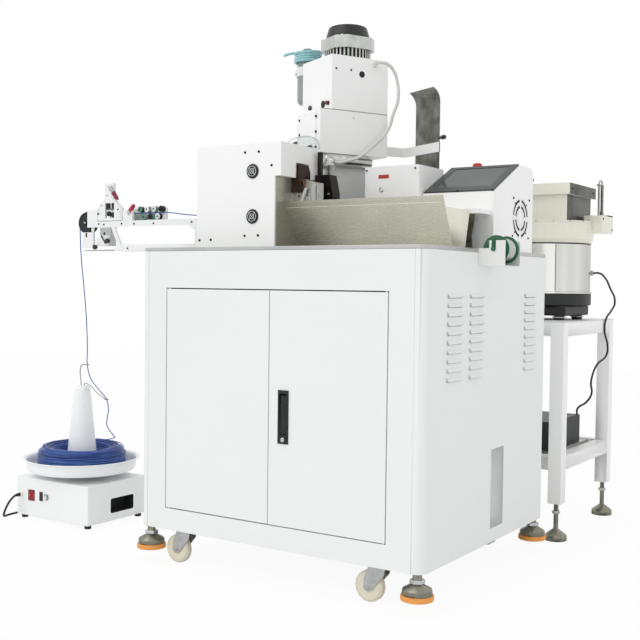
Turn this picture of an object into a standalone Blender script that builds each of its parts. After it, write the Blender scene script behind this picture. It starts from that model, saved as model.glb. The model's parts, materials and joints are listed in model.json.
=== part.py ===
# Cable crimping and tinning machine: cabinet with feed, cutting, crimping and tinning units,
# a wire pay-off unit on the floor at its left and a terminal bowl feeder on a stand at its right.
# Units are metres. X runs along the cabinet front, Y runs back, Z is up and the floor is Z = 0.
# While modelling, X = 0 is the cabinet's left side and Y = 0 its front. The last section moves
# the origin to the middle of the footprint.
import math

import bmesh
import bpy
from mathutils import Matrix, Vector

# General clearances
SEAT = 0.0003            # gap between pieces that rest on each other
RUN = 0.0010             # running gap round a turning or sliding piece
SINK = 0.0005            # how far welded or screwed-on details of one piece reach into it
SHEET = 0.0020           # sheet metal
SIDES = 16               # facets of a medium round piece
SMALL_SIDES = 10         # facets of a small round piece

# Cabinet
BODY_W = 0.900
BODY_D = 0.785
BODY_H = 0.775
UNDERSIDE = 0.100
CORNER_R = 0.028
SIDE_T = 0.030
FRONT_T = 0.018
BACK_T = 0.015
BASE_T = 0.020
PLATE_T = 0.010
BODY_TOP = UNDERSIDE + BODY_H
DECK = BODY_TOP + SEAT + PLATE_T
ON_DECK = DECK + SEAT

# Doors, their hinge pins and the latch
DOOR_LEFT = 0.0945
DOOR_RIGHT = BODY_W - 0.0995
DOOR_LOW = 0.160
DOOR_HIGH = BODY_TOP - 0.101
DOOR_GAP = 0.003
DOOR_PAN = 0.010         # depth of the hollow behind the door face
DOOR_RIM = 0.025
PIN_R = 0.003
PIN_IN = 0.010           # length of a hinge pin inside the door
PIN_EDGE = 0.006         # distance of the hinge axis from the door's edge and face
LATCH_X = 0.0300         # from the meeting edge to the latch
LATCH_W = 0.032
LATCH_H = 0.138
LATCH_Z = 0.446
LATCH_PROUD = 0.003
LATCH_DEEP = 0.034
LEVER_W = 0.020
LEVER_H = 0.104
LEVER_T = 0.009

# Pocket and louvres of the right side
POCKET_Y = (0.392, 0.476)
POCKET_Z = (0.138, 0.352)
POCKET_DEEP = 0.042
LOUVRE_Y = (0.155, 0.284, 0.648)
LOUVRE_W = 0.080
LOUVRE_H = 0.011
LOUVRE_PROUD = 0.006
LOUVRE_Z = (BODY_TOP - 0.312, BODY_TOP - 0.105)
LOUVRE_ROWS = 10

# Electrical plate in the cabinet
PANEL_X = (0.140, BODY_W - 0.14)
PANEL_Z = (0.240, BODY_TOP - 0.135)
PANEL_T = 0.003
PANEL_ROWS = (0.22, 0.70)
PANEL_MARGIN = 0.030
RAIL_H = 0.035
RAIL_T = 0.008
MODULES = 5
MODULE = (0.075, 0.110)  # depth and height of a module on its rail

# Feet and casters
FOOT_IN = 0.024
FOOT_R = 0.041
FOOT_PAD = 0.0085
FOOT_LIFT = 0.035
STEM_R = 0.0115
FOOT_STUD = (0.005, 0.012)
CASTER_X = 0.138
CASTER_Y = 0.045
CASTER_PLATE = (0.064, 0.050, 0.004)
WHEEL_R = 0.040
WHEEL_W = 0.024
WHEEL_BORE = 0.0046
AXLE_R = 0.0040
CASTER_TRAIL = 0.028
FORK_T = 0.0030
FORK_TOP = 0.0045

# Feed enclosure
FEED_X = (0.118, 0.388)
FEED_Y = (0.100, 0.285)
FEED_TOP = DECK + 0.2847
HOOD_OUT = 0.020
HOOD_LOW = DECK + 0.1937
NOTCH_Y = (0.172, 0.232)
NOTCH_Z = DECK + 0.2347
VENT_R = 0.020
VENT_X = 0.314
VENT_Z = (DECK + 0.0857, DECK + 0.2087)

# Wire line
WIRE_Y = 0.216
WIRE_Z = DECK + 0.1167
WIRE_R = 0.0016

# Catch trough
TROUGH_RIGHT = BODY_W - 0.042
TROUGH_FLARE = 0.015
TROUGH_FRONT = (0.135, 0.225)   # Y of the front wall at its top and at its foot
TROUGH_TOP = DECK + 0.1267
TROUGH_BACK = 0.297
TROUGH_REAR_TOP = DECK + 0.0997
TROUGH_FLANGE = 0.009

# Cutting unit and swing gripper
HEAD_X = (FEED_X[1] + SHEET + 2 * SEAT, 0.4550)
HEAD_Y = (0.192, 0.238)
HEAD_LOW = DECK + 0.0697
BLADE_T = 0.004
BLADE_STROKE = 0.008
POST = (0.482, 0.378)
POST_R = 0.019
GRIP_X = (0.411, 0.470)
GRIP_Y = (0.262, 0.300)
GRIP_Z = (DECK + 0.1147, DECK + 0.2087)

# Crimping press, in its own axes: A to its right, B to its back
PRESS_AT = (0.368, 0.350)
PRESS_TURN = math.radians(-26.7)
PRESS_LOW = DECK + 0.2867
PRESS_SPLIT = PRESS_LOW + 0.128
PRESS_TOP = PRESS_SPLIT + 0.16
PRESS_DEPTH = 0.234
PLATE_PROUD = 0.003      # thickness of the access plate on the head's front
GUARD = (-0.094, 0.066)  # A of the clear guard's middle, and its radius
GUARD_LOW = PRESS_LOW - 0.052
GUARD_OUT = 0.045
PRESS_W = 0.135
COVER_W = 0.174
COVER_BACK = 0.037       # how far the cover's front stands behind the head's front
COLUMN_B = (0.056, 0.172)
COLUMN_A = (-0.130, -0.008)
BED_TOP = DECK + 0.1247
RAM_A = (-0.100, -0.035)
RAM_B = (0.012, 0.050)
RAM_STROKE = 0.030
MOTOR_A = -0.073
MOTOR_B = 0.135
MOTOR_R = 0.069
STATOR_H = 0.034
BELL = 0.139
BELL_H = 0.037
BELL_CUT = 0.0285
GUIDE_T = 0.0020
GUIDE_CURL = 0.042
BOTTLE_A = -0.213
BOTTLE_B = 0.075
BOTTLE_R = 0.031

# Tin pot cover
POT_X = (BODY_W - 0.394, BODY_W - 0.22)
POT_Y = (0.370, 0.530)
POT_TOP = DECK + 0.2367
POT_WALL = 0.003
POT_R = 0.038

# Control housing
BOX_X = (BODY_W - 0.216, BODY_W - 0.005)
BOX_Y = (0.392, 0.667)
BOX_TOP = DECK + 0.2427
BOX_LIP = DECK + 0.1567          # height of the front edge, where the screen starts
SCREEN_Y = 0.566
SCREEN_T = 0.004
SHELF_Y = 0.314
SHELF_Z = (DECK + 0.0937, DECK + 0.1057)
SHELF_X = (BODY_W - 0.2, BODY_W - 0.013)
FAN_Y = 0.577
FAN_Z = DECK + 0.0947
FAN_R = 0.058
FAN_DEEP = 0.034
FAN_MID = 0.019          # depth of the fan's middle behind the wall
FAN_HUB = (0.017, 0.009)
FAN_BOSS_R = 0.010
GRILLE_T = 0.003
DEFLECTOR_Y = 0.358
STOP_AT = (BODY_W - 0.15, 0.602)

# Solder spool
SPOOL_X = BODY_W + 0.042
SPOOL_Z = DECK - 0.0013
SPOOL_Y = (0.304, 0.370)
SPOOL_R = 0.036
SPOOL_AXLE = 0.006
BRACKET_Y = (0.288, 0.386)
BRACKET_LOW = DECK - 0.0453
BRACKET_X = BODY_W + 0.074

# Feed arm
ARM_X = (-0.442, FEED_X[0] - SEAT)
ARM_Y = (0.195, 0.245)
ARM_Z = (DECK + 0.0757, DECK + 0.0937)
ARM_T = 0.006
ENCODER = (-0.432, DECK + 0.0917)
ENCODER_R = 0.0335
WHEEL_T = 0.0290
TOWER_T = 0.009
TOWER_X = -0.3185
BANK_BACK = 0.014
LEVER_PIN = 0.0022
LEVER_DEEP = 0.008
EYE = (-0.467, 0.2175)
ROLLER_R = 0.0095

# Wire pay-off unit
PAY_X = (-0.698, -0.368)
PAY_Y = (0.157, 0.423)
PAY_Z = (0.012, 0.138)
GLAND_L = 0.008
KNOB_X = -0.557
KNOB_Z = 0.083
KNOB_PIN = 0.003
DISH_R = 0.193
DISH_FOOT_R = 0.165
DISH_Z = (0.158, 0.203)
CONE_TOP = 0.443
CONE_R = (0.054, 0.026)
EYES = ((0.023, 0.512), (0.112, 0.402))   # offset along X and height of the two eyes
COIL_R = (0.064, 0.146)
COIL_H = 0.096

# Bowl feeder and its stand
STAND_X = (0.520, 0.910)
STAND_Y = (BODY_D + 0.12, BODY_D + 0.615)
STAND_TOP = 0.678
STAND_FOOT = 0.115
STAND_TUBE = 0.042
STAND_LOW = (0.219, 0.262)
STAND_PLATE = 0.004
CONTROL_X = (0.620, 0.832)
CONTROL_Y = (BODY_D + 0.235, BODY_D + 0.515)
CONTROL_TOP = 0.353
BOWL_AT = (0.747, BODY_D + 0.375)
DRIVE_R = 0.150
DRIVE_BASE = 0.092       # height of the drive's black foot
DRIVE_H = 0.248
BOWL_R = 0.157
BOWL_H = 0.075
TIER = (0.115, 0.128)    # half widths of the two square hopper bands
TIER_H = (0.083, 0.118)  # heights of their upper edges over the bowl's rim

# Cords
CORD_R = 0.0034
PAY_CORD_R = 0.0036
PAY_COIL_AT = (-0.530, 0.492)
PAY_COIL_R = 0.051
PLUG_EDGE = 0.004
CONDUIT_R = 0.0048
CONDUIT_TOP = (0.183, 1.446)   # B and height of the gland on the press cover's right face
CONDUIT_OUT = 0.010
CONDUIT_END = 0.030


def material(name, colour, roughness, metallic=0.0):
    made = bpy.data.materials.new(name)
    made.use_nodes = True
    shader = made.node_tree.nodes["Principled BSDF"]
    shader.inputs["Base Color"].default_value = (*colour, 1.0)
    shader.inputs["Roughness"].default_value = roughness
    shader.inputs["Metallic"].default_value = metallic
    made.diffuse_color = (*colour, 1.0)
    return made


def grow_box(bm, x, y, z, edge=0.0, segments=2):
    # A block between the given low and high sides, with its edges rounded when edge is set.
    size = Vector((x[1] - x[0], y[1] - y[0], z[1] - z[0]))
    middle = Vector((x[0] + x[1], y[0] + y[1], z[0] + z[1])) / 2
    place = Matrix.Translation(middle) @ Matrix.Diagonal((*size, 1.0))
    corners = bmesh.ops.create_cube(bm, size=1.0, matrix=place)["verts"]
    if edge:
        edges = {e for v in corners for e in v.link_edges}
        bmesh.ops.bevel(bm, geom=list(edges), offset=edge, segments=segments,
                        profile=0.5, affect="EDGES")


def grow_prism(bm, outline, low, high, plane="XZ"):
    # An outline drawn in the given plane, extruded from low to high across it.
    order = {"XY": (0, 1, 2), "XZ": (0, 2, 1), "YZ": (1, 2, 0)}[plane]
    points = []
    for first, second in outline:
        point = [0.0, 0.0, 0.0]
        point[order[0]] = first
        point[order[1]] = second
        point[order[2]] = low
        points.append(bm.verts.new(point))
    face = bm.faces.new(points)
    grown = bmesh.ops.extrude_face_region(bm, geom=[face])["geom"]
    step = Vector((0.0, 0.0, 0.0))
    step[order[2]] = high - low
    bmesh.ops.translate(bm, vec=step, verts=[v for v in grown if isinstance(v, bmesh.types.BMVert)])


def grow_turned(bm, profile, centre, axis="Z", sides=SIDES, closed=False):
    # A profile of (radius, height) points spun round an axis through centre.
    start = [bm.verts.new((r, 0.0, h)) for r, h in profile]
    chain = [bm.edges.new(pair) for pair in zip(start, start[1:])]
    if closed:
        chain.append(bm.edges.new((start[-1], start[0])))
    before = set(bm.verts) - set(start)
    bmesh.ops.spin(bm, geom=start + chain, cent=(0, 0, 0), axis=(0, 0, 1),
                   angle=math.tau, steps=sides, use_merge=False)
    made = [v for v in bm.verts if v not in before]
    bmesh.ops.remove_doubles(bm, verts=made, dist=0.00001)
    made = [v for v in bm.verts if v not in before]
    turn = {"Z": Matrix.Identity(3), "Y": Matrix.Rotation(math.radians(-90), 3, "X"),
            "X": Matrix.Rotation(math.radians(90), 3, "Y")}[axis]
    for v in made:
        v.co = turn @ v.co + Vector(centre)


def up(height):
    # A height over the worktop, as a height over the floor.
    return DECK + height


def rod_profile(radius, low, high):
    return [(0.0, low), (radius, low), (radius, high), (0.0, high)]


def ring_profile(inner, outer, low, high):
    return [(inner, low), (outer, low), (outer, high), (inner, high)]


def rounded_outline(x, y, radius, steps=4, which=(True, True, True, True)):
    # A rectangle with rounded corners, starting at the low-low corner and running anticlockwise.
    centres = [(x[0] + radius, y[0] + radius), (x[1] - radius, y[0] + radius),
               (x[1] - radius, y[1] - radius), (x[0] + radius, y[1] - radius)]
    corners = [(x[0], y[0]), (x[1], y[0]), (x[1], y[1]), (x[0], y[1])]
    points = []
    for index, (centre, corner) in enumerate(zip(centres, corners)):
        if not which[index]:
            points.append(corner)
            continue
        for step in range(steps + 1):
            angle = math.pi + (index + step / steps) * math.pi / 2
            points.append((centre[0] + radius * math.cos(angle), centre[1] + radius * math.sin(angle)))
    return points


def place(name, bm, mat, at=(0.0, 0.0, 0.0), turn=0.0, extra=()):
    # Turns the finished bmesh into a named object with its materials.
    bmesh.ops.recalc_face_normals(bm, faces=bm.faces)
    mesh = bpy.data.meshes.new(name)
    bm.to_mesh(mesh)
    bm.free()
    made = bpy.data.objects.new(name, mesh)
    bpy.context.collection.objects.link(made)
    made.location = at
    made.rotation_euler[2] = turn
    for one in (mat, *extra):
        mesh.materials.append(one)
    return made


def combine(target, tool, how):
    # Applies one Boolean to the target and removes the tool.
    step = target.modifiers.new("combine", "BOOLEAN")
    step.operation = how
    step.solver = "EXACT"
    step.object = tool
    bpy.context.view_layer.update()
    graph = bpy.context.evaluated_depsgraph_get()
    mesh = bpy.data.meshes.new_from_object(target.evaluated_get(graph))
    target.modifiers.remove(step)
    old = target.data
    target.data = mesh
    mesh.name = target.name
    bpy.data.meshes.remove(old)
    bpy.data.objects.remove(tool)


def cut(target, *tools, slot=0):
    for bm in tools:
        combine(target, tool_like(target, bm, slot), "DIFFERENCE")


def fuse(target, *tools, slot=0):
    for bm in tools:
        combine(target, tool_like(target, bm, slot), "UNION")


def tool_like(target, bm, slot):
    # A tool in the target's own axes, whose faces use one of the target's materials.
    materials = list(target.data.materials)
    tool = place("tool", bm, materials[0], target.location, target.rotation_euler[2], materials[1:])
    for face in tool.data.polygons:
        face.material_index = slot
    return tool


def eye_section(radius, thickness, sides=6):
    # The round cross-section of a small wire eye.
    return [(radius + thickness * math.cos(math.tau * i / sides), thickness * math.sin(math.tau * i / sides))
            for i in range(sides)]


def box_mesh(x, y, z, edge=0.0):
    bm = bmesh.new()
    grow_box(bm, x, y, z, edge)
    return bm


def prism_mesh(outline, low, high, plane="XZ"):
    bm = bmesh.new()
    grow_prism(bm, outline, low, high, plane)
    return bm


def turned_mesh(profile, centre, axis="Z", sides=SIDES, closed=False):
    bm = bmesh.new()
    grow_turned(bm, profile, centre, axis, sides, closed)
    return bm


def smooth_route(points, spacing):
    # Evenly spaced points on a smooth curve through the route's own points.
    points = [Vector(p) for p in points]
    padded = [2 * points[0] - points[1]] + points + [2 * points[-1] - points[-2]]
    fine = []
    for i in range(1, len(padded) - 2):
        p0, p1, p2, p3 = padded[i - 1:i + 3]
        for step in range(24):
            t = step / 24
            fine.append(0.5 * (2 * p1 + (p2 - p0) * t + (2 * p0 - 5 * p1 + 4 * p2 - p3) * t * t
                               + (3 * p1 - p0 - 3 * p2 + p3) * t ** 3))
    fine.append(points[-1])
    lengths = [0.0]
    for a, b in zip(fine, fine[1:]):
        lengths.append(lengths[-1] + (b - a).length)
    count = max(4, round(lengths[-1] / spacing))
    spaced = []
    index = 0
    for step in range(count + 1):
        wanted = lengths[-1] * step / count
        while index < len(fine) - 2 and lengths[index + 1] < wanted:
            index += 1
        span = lengths[index + 1] - lengths[index]
        spaced.append(fine[index].lerp(fine[index + 1], (wanted - lengths[index]) / span))
    return spaced


def cord(name, points, radius, mat, spacing, resolution=3):
    # A plain tube along the cord's route.
    curve = bpy.data.curves.new(name, "CURVE")
    curve.dimensions = "3D"
    curve.bevel_depth = radius
    curve.bevel_resolution = resolution
    curve.use_fill_caps = True
    route = smooth_route(points, spacing)
    line = curve.splines.new("POLY")
    line.points.add(len(route) - 1)
    for point, position in zip(line.points, route):
        point.co = (*position, 1.0)
    curve.materials.append(mat)
    made = bpy.data.objects.new(name, curve)
    bpy.context.collection.objects.link(made)
    return made


# Cabinet body

def cabinet():
    white = material("cabinet white powder coat", (0.90, 0.91, 0.91), 0.45)
    inner = (SIDE_T + SEAT, BODY_W - SIDE_T - SEAT)
    height = (UNDERSIDE, BODY_TOP)

    frame = place("cabinet_front_frame", box_mesh(inner, (0.0, FRONT_T), height), white)
    cut(frame, box_mesh((DOOR_LEFT, DOOR_RIGHT), (-FRONT_T, 2 * FRONT_T), (DOOR_LOW, DOOR_HIGH)))
    sink = 0.004
    reach = DOOR_GAP + PIN_IN
    for x in hinge_lines():
        fuse(frame,
             turned_mesh(rod_profile(PIN_R, DOOR_HIGH - reach, DOOR_HIGH + sink), (x, PIN_EDGE, 0.0), "Z", 10),
             turned_mesh(rod_profile(PIN_R, DOOR_LOW - sink, DOOR_LOW + reach), (x, PIN_EDGE, 0.0), "Z", 10))

    chrome = material("levelling foot chrome", (0.70, 0.70, 0.70), 0.15, 1.0)
    left_outline = rounded_outline((0.0, SIDE_T), (0.0, BODY_D), CORNER_R, 4, (True, False, False, True))
    left = place("cabinet_left_panel", prism_mesh(left_outline, *height, "XY"), white, extra=[chrome])
    add_feet(left, FOOT_IN)

    right_outline = rounded_outline((BODY_W - SIDE_T, BODY_W), (0.0, BODY_D), CORNER_R, 4,
                                    (False, True, True, False))
    right = place("cabinet_right_panel", prism_mesh(right_outline, *height, "XY"), white, extra=[chrome])
    add_feet(right, BODY_W - FOOT_IN)
    rim = 0.004
    fuse(right, box_mesh((BODY_W - POCKET_DEEP - rim, BODY_W - SIDE_T / 2),
                         (POCKET_Y[0] - rim, POCKET_Y[1] + rim), (POCKET_Z[0] - rim, POCKET_Z[1] + rim)))
    cut(right, box_mesh((BODY_W - POCKET_DEEP, BODY_W + rim), POCKET_Y, POCKET_Z))
    pitch = (LOUVRE_Z[1] - LOUVRE_Z[0]) / (LOUVRE_ROWS - 1)
    sink = 0.001
    for y in LOUVRE_Y:
        hoods = bmesh.new()
        for row in range(LOUVRE_ROWS):
            top = LOUVRE_Z[1] - row * pitch
            hood = [(BODY_W - sink, top), (BODY_W - sink, top - LOUVRE_H),
                    (BODY_W + LOUVRE_PROUD, top - LOUVRE_H), (BODY_W + LOUVRE_PROUD / 3, top - LOUVRE_H / 4)]
            grow_prism(hoods, hood, y - LOUVRE_W / 2, y + LOUVRE_W / 2, "XZ")
        fuse(right, hoods)

    place("cabinet_back_panel", box_mesh(inner, (BODY_D - BACK_T, BODY_D), height), white)

    zinc = material("caster plate zinc", (0.62, 0.64, 0.64), 0.3, 1.0)
    base = place("cabinet_base", box_mesh(inner, (FRONT_T + SEAT, BODY_D - BACK_T - SEAT),
                                          (UNDERSIDE, UNDERSIDE + BASE_T)), white, extra=[zinc])
    long, wide, thick = CASTER_PLATE
    for x, y in caster_places():
        fuse(base, box_mesh((x - long / 2, x + long / 2), (y - wide / 2, y + wide / 2),
                            (UNDERSIDE - thick, UNDERSIDE + SINK)), slot=1)

    steel = material("worktop brushed steel", (0.55, 0.56, 0.56), 0.35, 0.9)
    plate = rounded_outline((0.0, BODY_W), (0.0, BODY_D), CORNER_R)
    place("worktop_plate", prism_mesh(plate, BODY_TOP + SEAT, DECK, "XY"), steel)

    grey = material("galvanised mounting plate", (0.60, 0.61, 0.60), 0.5, 0.6)
    casing = material("module casing dark grey", (0.10, 0.11, 0.11), 0.5)
    back = BODY_D - BACK_T - SEAT
    electrics = place("electrics_plate", box_mesh(PANEL_X, (back - PANEL_T, back), PANEL_Z), grey, extra=[casing])
    face = back - PANEL_T
    for share in PANEL_ROWS:
        middle = PANEL_Z[0] + share * (PANEL_Z[1] - PANEL_Z[0])
        fuse(electrics, box_mesh((PANEL_X[0] + PANEL_MARGIN, PANEL_X[1] - PANEL_MARGIN), (face - RAIL_T, face + SINK),
                                 (middle - RAIL_H / 2, middle + RAIL_H / 2)))
        pitch = (PANEL_X[1] - PANEL_X[0] - 2 * PANEL_MARGIN) / MODULES
        modules = bmesh.new()
        for number in range(MODULES):
            start = PANEL_X[0] + PANEL_MARGIN + (number + 0.1) * pitch
            grow_box(modules, (start, start + 0.8 * pitch), (face - RAIL_T - MODULE[0], face - RAIL_T + SINK),
                     (middle - MODULE[1] / 2, middle + MODULE[1] / 2))
        fuse(electrics, modules, slot=1)


def hinge_lines():
    return (DOOR_LEFT + DOOR_GAP + PIN_EDGE, DOOR_RIGHT - DOOR_GAP - PIN_EDGE)


def caster_places():
    return [(x, y) for y in (CASTER_Y, BODY_D - CASTER_Y) for x in (CASTER_X, BODY_W - CASTER_X)]


def doors():
    white = material("door white powder coat", (0.91, 0.92, 0.92), 0.45)
    black = material("latch black zinc", (0.03, 0.03, 0.03), 0.4, 0.3)
    middle = (DOOR_LEFT + DOOR_RIGHT) / 2
    height = (DOOR_LOW + DOOR_GAP, DOOR_HIGH - DOOR_GAP)
    spans = {"left_door": (DOOR_LEFT + DOOR_GAP, middle - DOOR_GAP / 2),
             "right_door": (middle + DOOR_GAP / 2, DOOR_RIGHT - DOOR_GAP)}
    made = {}
    for (name, span), hinge in zip(spans.items(), hinge_lines()):
        def local(pair):
            return (pair[0] - hinge, pair[1] - hinge)
        door = place(name, box_mesh(local(span), (-PIN_EDGE, FRONT_T - PIN_EDGE), height), white,
                     (hinge, PIN_EDGE, 0.0))
        pan_x = local((span[0] + DOOR_RIM, span[1] - DOOR_RIM))
        pan_z = (height[0] + DOOR_RIM, height[1] - DOOR_RIM)
        cut(door, box_mesh(pan_x, (FRONT_T - PIN_EDGE - DOOR_PAN, FRONT_T), pan_z))
        hole = PIN_R + SEAT
        for end, inward in ((height[1], -1), (height[0], 1)):
            low, high = sorted((end - inward * 0.002, end + inward * (PIN_IN + RUN)))
            cut(door, turned_mesh(rod_profile(hole, low, high), (0.0, 0.0, 0.0), "Z", 10))
        made[name] = (door, hinge, span)

    door, hinge, span = made["right_door"]
    x = (span[0] + LATCH_X - hinge, span[0] + LATCH_X + LATCH_W - hinge)
    z = (LATCH_Z - LATCH_H / 2, LATCH_Z + LATCH_H / 2)
    face = -PIN_EDGE
    door.data.materials.append(black)
    fuse(door, box_mesh(x, (face - LATCH_PROUD, face + LATCH_DEEP), z), slot=1)
    lever_x = (x[0] + x[1]) / 2
    lever_top = z[1] - 0.010
    well = (lever_x - LEVER_W / 2 - RUN, lever_x + LEVER_W / 2 + RUN)
    cut(door, box_mesh(well, (face - 0.02, face + LEVER_T + 0.004), (lever_top - LEVER_H - RUN, lever_top + RUN)),
        slot=1)

    pivot_z = lever_top - LEVER_T
    pivot_y = face + LEVER_T / 2
    place("latch_lever",
          box_mesh((-LEVER_W / 2, LEVER_W / 2), (-LEVER_T / 2 - 0.001, LEVER_T / 2 - 0.001),
                   (-LEVER_H + LEVER_T, LEVER_T - 0.003), 0.0018),
          black, (hinge + lever_x, PIN_EDGE + pivot_y, pivot_z))


# Feet and casters

def add_feet(panel, x):
    # Two levelling feet, each on a stud in the panel's lower edge.
    shoulder = FOOT_PAD + 0.004
    top = UNDERSIDE - SEAT - FOOT_LIFT
    stud = top + SEAT + FOOT_STUD[1]
    foot = [(0.0, 0.0), (FOOT_R, 0.0), (FOOT_R, shoulder + 0.010), (FOOT_R * 0.88, shoulder + 0.014),
            (STEM_R + 0.002, shoulder + 0.027), (STEM_R, shoulder + 0.031), (STEM_R, top), (FOOT_STUD[0], top),
            (FOOT_STUD[0], stud), (0.0, stud)]
    for y in (FOOT_IN, BODY_D - FOOT_IN):
        fuse(panel, turned_mesh(foot, (x, y, FOOT_LIFT)), slot=1)


def casters():
    zinc = material("caster zinc plate", (0.62, 0.64, 0.64), 0.3, 1.0)
    nylon = material("caster wheel nylon", (0.90, 0.89, 0.82), 0.5)
    names = ("front_left", "front_right", "rear_left", "rear_right")
    crown = UNDERSIDE - CASTER_PLATE[2] - SEAT
    half = WHEEL_W / 2 + RUN
    outer = half + FORK_T
    axle = -CASTER_TRAIL
    rim = WHEEL_W / 2
    tread = [(WHEEL_BORE, -rim), (0.85 * WHEEL_R, -rim), (WHEEL_R, 0.005 - rim), (WHEEL_R, rim - 0.005),
             (0.85 * WHEEL_R, rim), (WHEEL_BORE, rim)]
    leg = [(-0.025, crown - 0.002), (0.022, crown - 0.002), (0.018, crown - 0.022),
           (axle + 0.012, WHEEL_R - 0.006), (axle, WHEEL_R - 0.012), (axle - 0.011, WHEEL_R - 0.005),
           (axle - 0.010, WHEEL_R + 0.020)]
    for name, (x, y) in zip(names, caster_places()):
        fork = place(f"caster_fork_{name}",
                     turned_mesh(rod_profile(0.026, crown - FORK_TOP, crown), (0.0, 0.0, 0.0), "Z", SIDES),
                     zinc, (x, y, 0.0))
        fuse(fork,
             box_mesh((-0.025, 0.022), (-outer, outer), (crown - FORK_TOP, crown - 0.0005)),
             prism_mesh(leg, half, outer, "XZ"), prism_mesh(leg, -outer, -half, "XZ"),
             turned_mesh(rod_profile(AXLE_R, -outer - 0.003, outer + 0.003), (axle, 0.0, WHEEL_R), "Y",
                         SMALL_SIDES))
        place(f"caster_wheel_{name}", turned_mesh(tread, (0.0, 0.0, 0.0), "Y", SIDES, closed=True),
              nylon, (x + axle, y, WHEEL_R))


# Feed enclosure and trough

def feed_enclosure():
    white = material("enclosure white powder coat", (0.91, 0.92, 0.92), 0.45)
    outline = [(FEED_X[0], ON_DECK), (FEED_X[1], ON_DECK), (FEED_X[1], HOOD_LOW),
               (FEED_X[1] + HOOD_OUT, HOOD_LOW), (FEED_X[1] + HOOD_OUT, FEED_TOP), (FEED_X[0], FEED_TOP)]
    vent = material("fan guard grey plastic", (0.30, 0.31, 0.31), 0.5)
    box = place("feed_enclosure", prism_mesh(outline, *FEED_Y, "XZ"), white, extra=[vent])
    cut(box, box_mesh((FEED_X[1] + RUN, FEED_X[1] + 2 * HOOD_OUT), NOTCH_Y, (HOOD_LOW - HOOD_OUT, NOTCH_Z)),
        turned_mesh(rod_profile(0.006, -0.01, 0.03), (FEED_X[0], WIRE_Y, wire_entry()[2]), "X", SMALL_SIDES))
    for z in VENT_Z:
        fuse(box, turned_mesh([(0.0, -0.003), (0.85 * VENT_R, -0.003), (VENT_R, -0.0015), (VENT_R, SINK), (0.0, SINK)],
                              (VENT_X, FEED_Y[0], z), "Y"), slot=1)


def wire_entry():
    return (FEED_X[0], WIRE_Y, WIRE_Z - 0.016)


def trough():
    # An open channel bent from sheet: the block's inside and the part over its rear wall are cut away.
    steel = material("trough stainless sheet", (0.52, 0.51, 0.46), 0.35, 0.9)
    top, foot = TROUGH_FRONT
    low = ON_DECK
    cheek = FEED_X[1] + SEAT
    slope = (top - foot) / (TROUGH_TOP - low)
    outer = [(foot, low), (TROUGH_BACK, low), (TROUGH_BACK, TROUGH_TOP), (top, TROUGH_TOP)]
    made = place("catch_trough", prism_mesh(outer, cheek + SHEET / 2, TROUGH_RIGHT, "YZ"), steel)
    for vertex in made.data.vertices:
        if vertex.co.x > TROUGH_RIGHT - SHEET:
            vertex.co.x += TROUGH_FLARE * (vertex.co.z - low) / (TROUGH_TOP - low)

    def inside(z):
        return foot + slope * (z - low) + 1.25 * SHEET
    floor = low + SHEET
    above = TROUGH_TOP + SHEET
    channel = [(inside(floor), floor), (TROUGH_BACK - SHEET, floor), (TROUGH_BACK - SHEET, above),
               (inside(above), above)]
    cut(made, prism_mesh(channel, cheek, TROUGH_RIGHT - SHEET, "YZ"))
    rear = [(inside(TROUGH_REAR_TOP) + SINK, TROUGH_REAR_TOP), (TROUGH_BACK + SHEET, TROUGH_REAR_TOP),
            (TROUGH_BACK + SHEET, above), (inside(above) + SINK, above)]
    cut(made, prism_mesh(rear, cheek - SHEET, TROUGH_RIGHT + 2 * TROUGH_FLARE, "YZ"))
    lip = inside(TROUGH_TOP)
    fuse(made, box_mesh((cheek + SHEET, TROUGH_RIGHT - SHEET), (lip - SINK, lip + TROUGH_FLANGE),
                        (TROUGH_TOP - SHEET, TROUGH_TOP - SINK / 4)),
         box_mesh((cheek, cheek + SHEET), (FEED_Y[0] + 0.005, TROUGH_BACK + SINK), (low + SINK / 4, HOOD_LOW - RUN)))


# Cutting unit

def cutting_unit():
    dark = material("cutter blackened steel", (0.07, 0.05, 0.04), 0.45, 0.7)
    block = [(HEAD_X[0], HEAD_LOW), (HEAD_X[1], HEAD_LOW + 0.010), (HEAD_X[1], HOOD_LOW - 0.012),
             (HEAD_X[0] + 0.030, HOOD_LOW - RUN), (HEAD_X[0], HOOD_LOW - RUN)]
    head = place("cutter_head", prism_mesh(block, *HEAD_Y, "XZ"), dark)
    nose = [(NOTCH_Y[0] + 0.003, NOTCH_Z - 0.004), (NOTCH_Y[1] - 0.012, NOTCH_Z - 0.004),
            (NOTCH_Y[1] - 0.003, NOTCH_Z - 0.022), (NOTCH_Y[1] - 0.003, up(0.1547)),
            (NOTCH_Y[0] + 0.003, up(0.1547))]
    fuse(head, prism_mesh(nose, HEAD_X[0] + 0.0002, HEAD_X[0] + 0.026, "YZ"),
         box_mesh((HEAD_X[0] + 0.006, HEAD_X[1] - 0.006), (HEAD_Y[1] - 0.002, HEAD_Y[1] + 0.006),
                  (HEAD_LOW + 0.012, HEAD_LOW + 0.036)))
    cut(head, turned_mesh(rod_profile(0.004, -0.01, 0.09), (HEAD_X[0], WIRE_Y, WIRE_Z - 0.012), "X", SMALL_SIDES))

    bright = material("blade ground steel", (0.66, 0.66, 0.66), 0.25, 1.0)
    edge = (up(0.1727), up(0.1247), up(0.1167))
    blade = [(WIRE_Y - 0.014, edge[0]), (WIRE_Y - 0.014, edge[1]), (WIRE_Y, edge[2]), (WIRE_Y + 0.014, edge[1]),
             (WIRE_Y + 0.014, edge[0])]
    start = HEAD_X[1] + SEAT
    place("cutter_blade", prism_mesh(blade, start, start + BLADE_T, "YZ"), bright)


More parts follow.
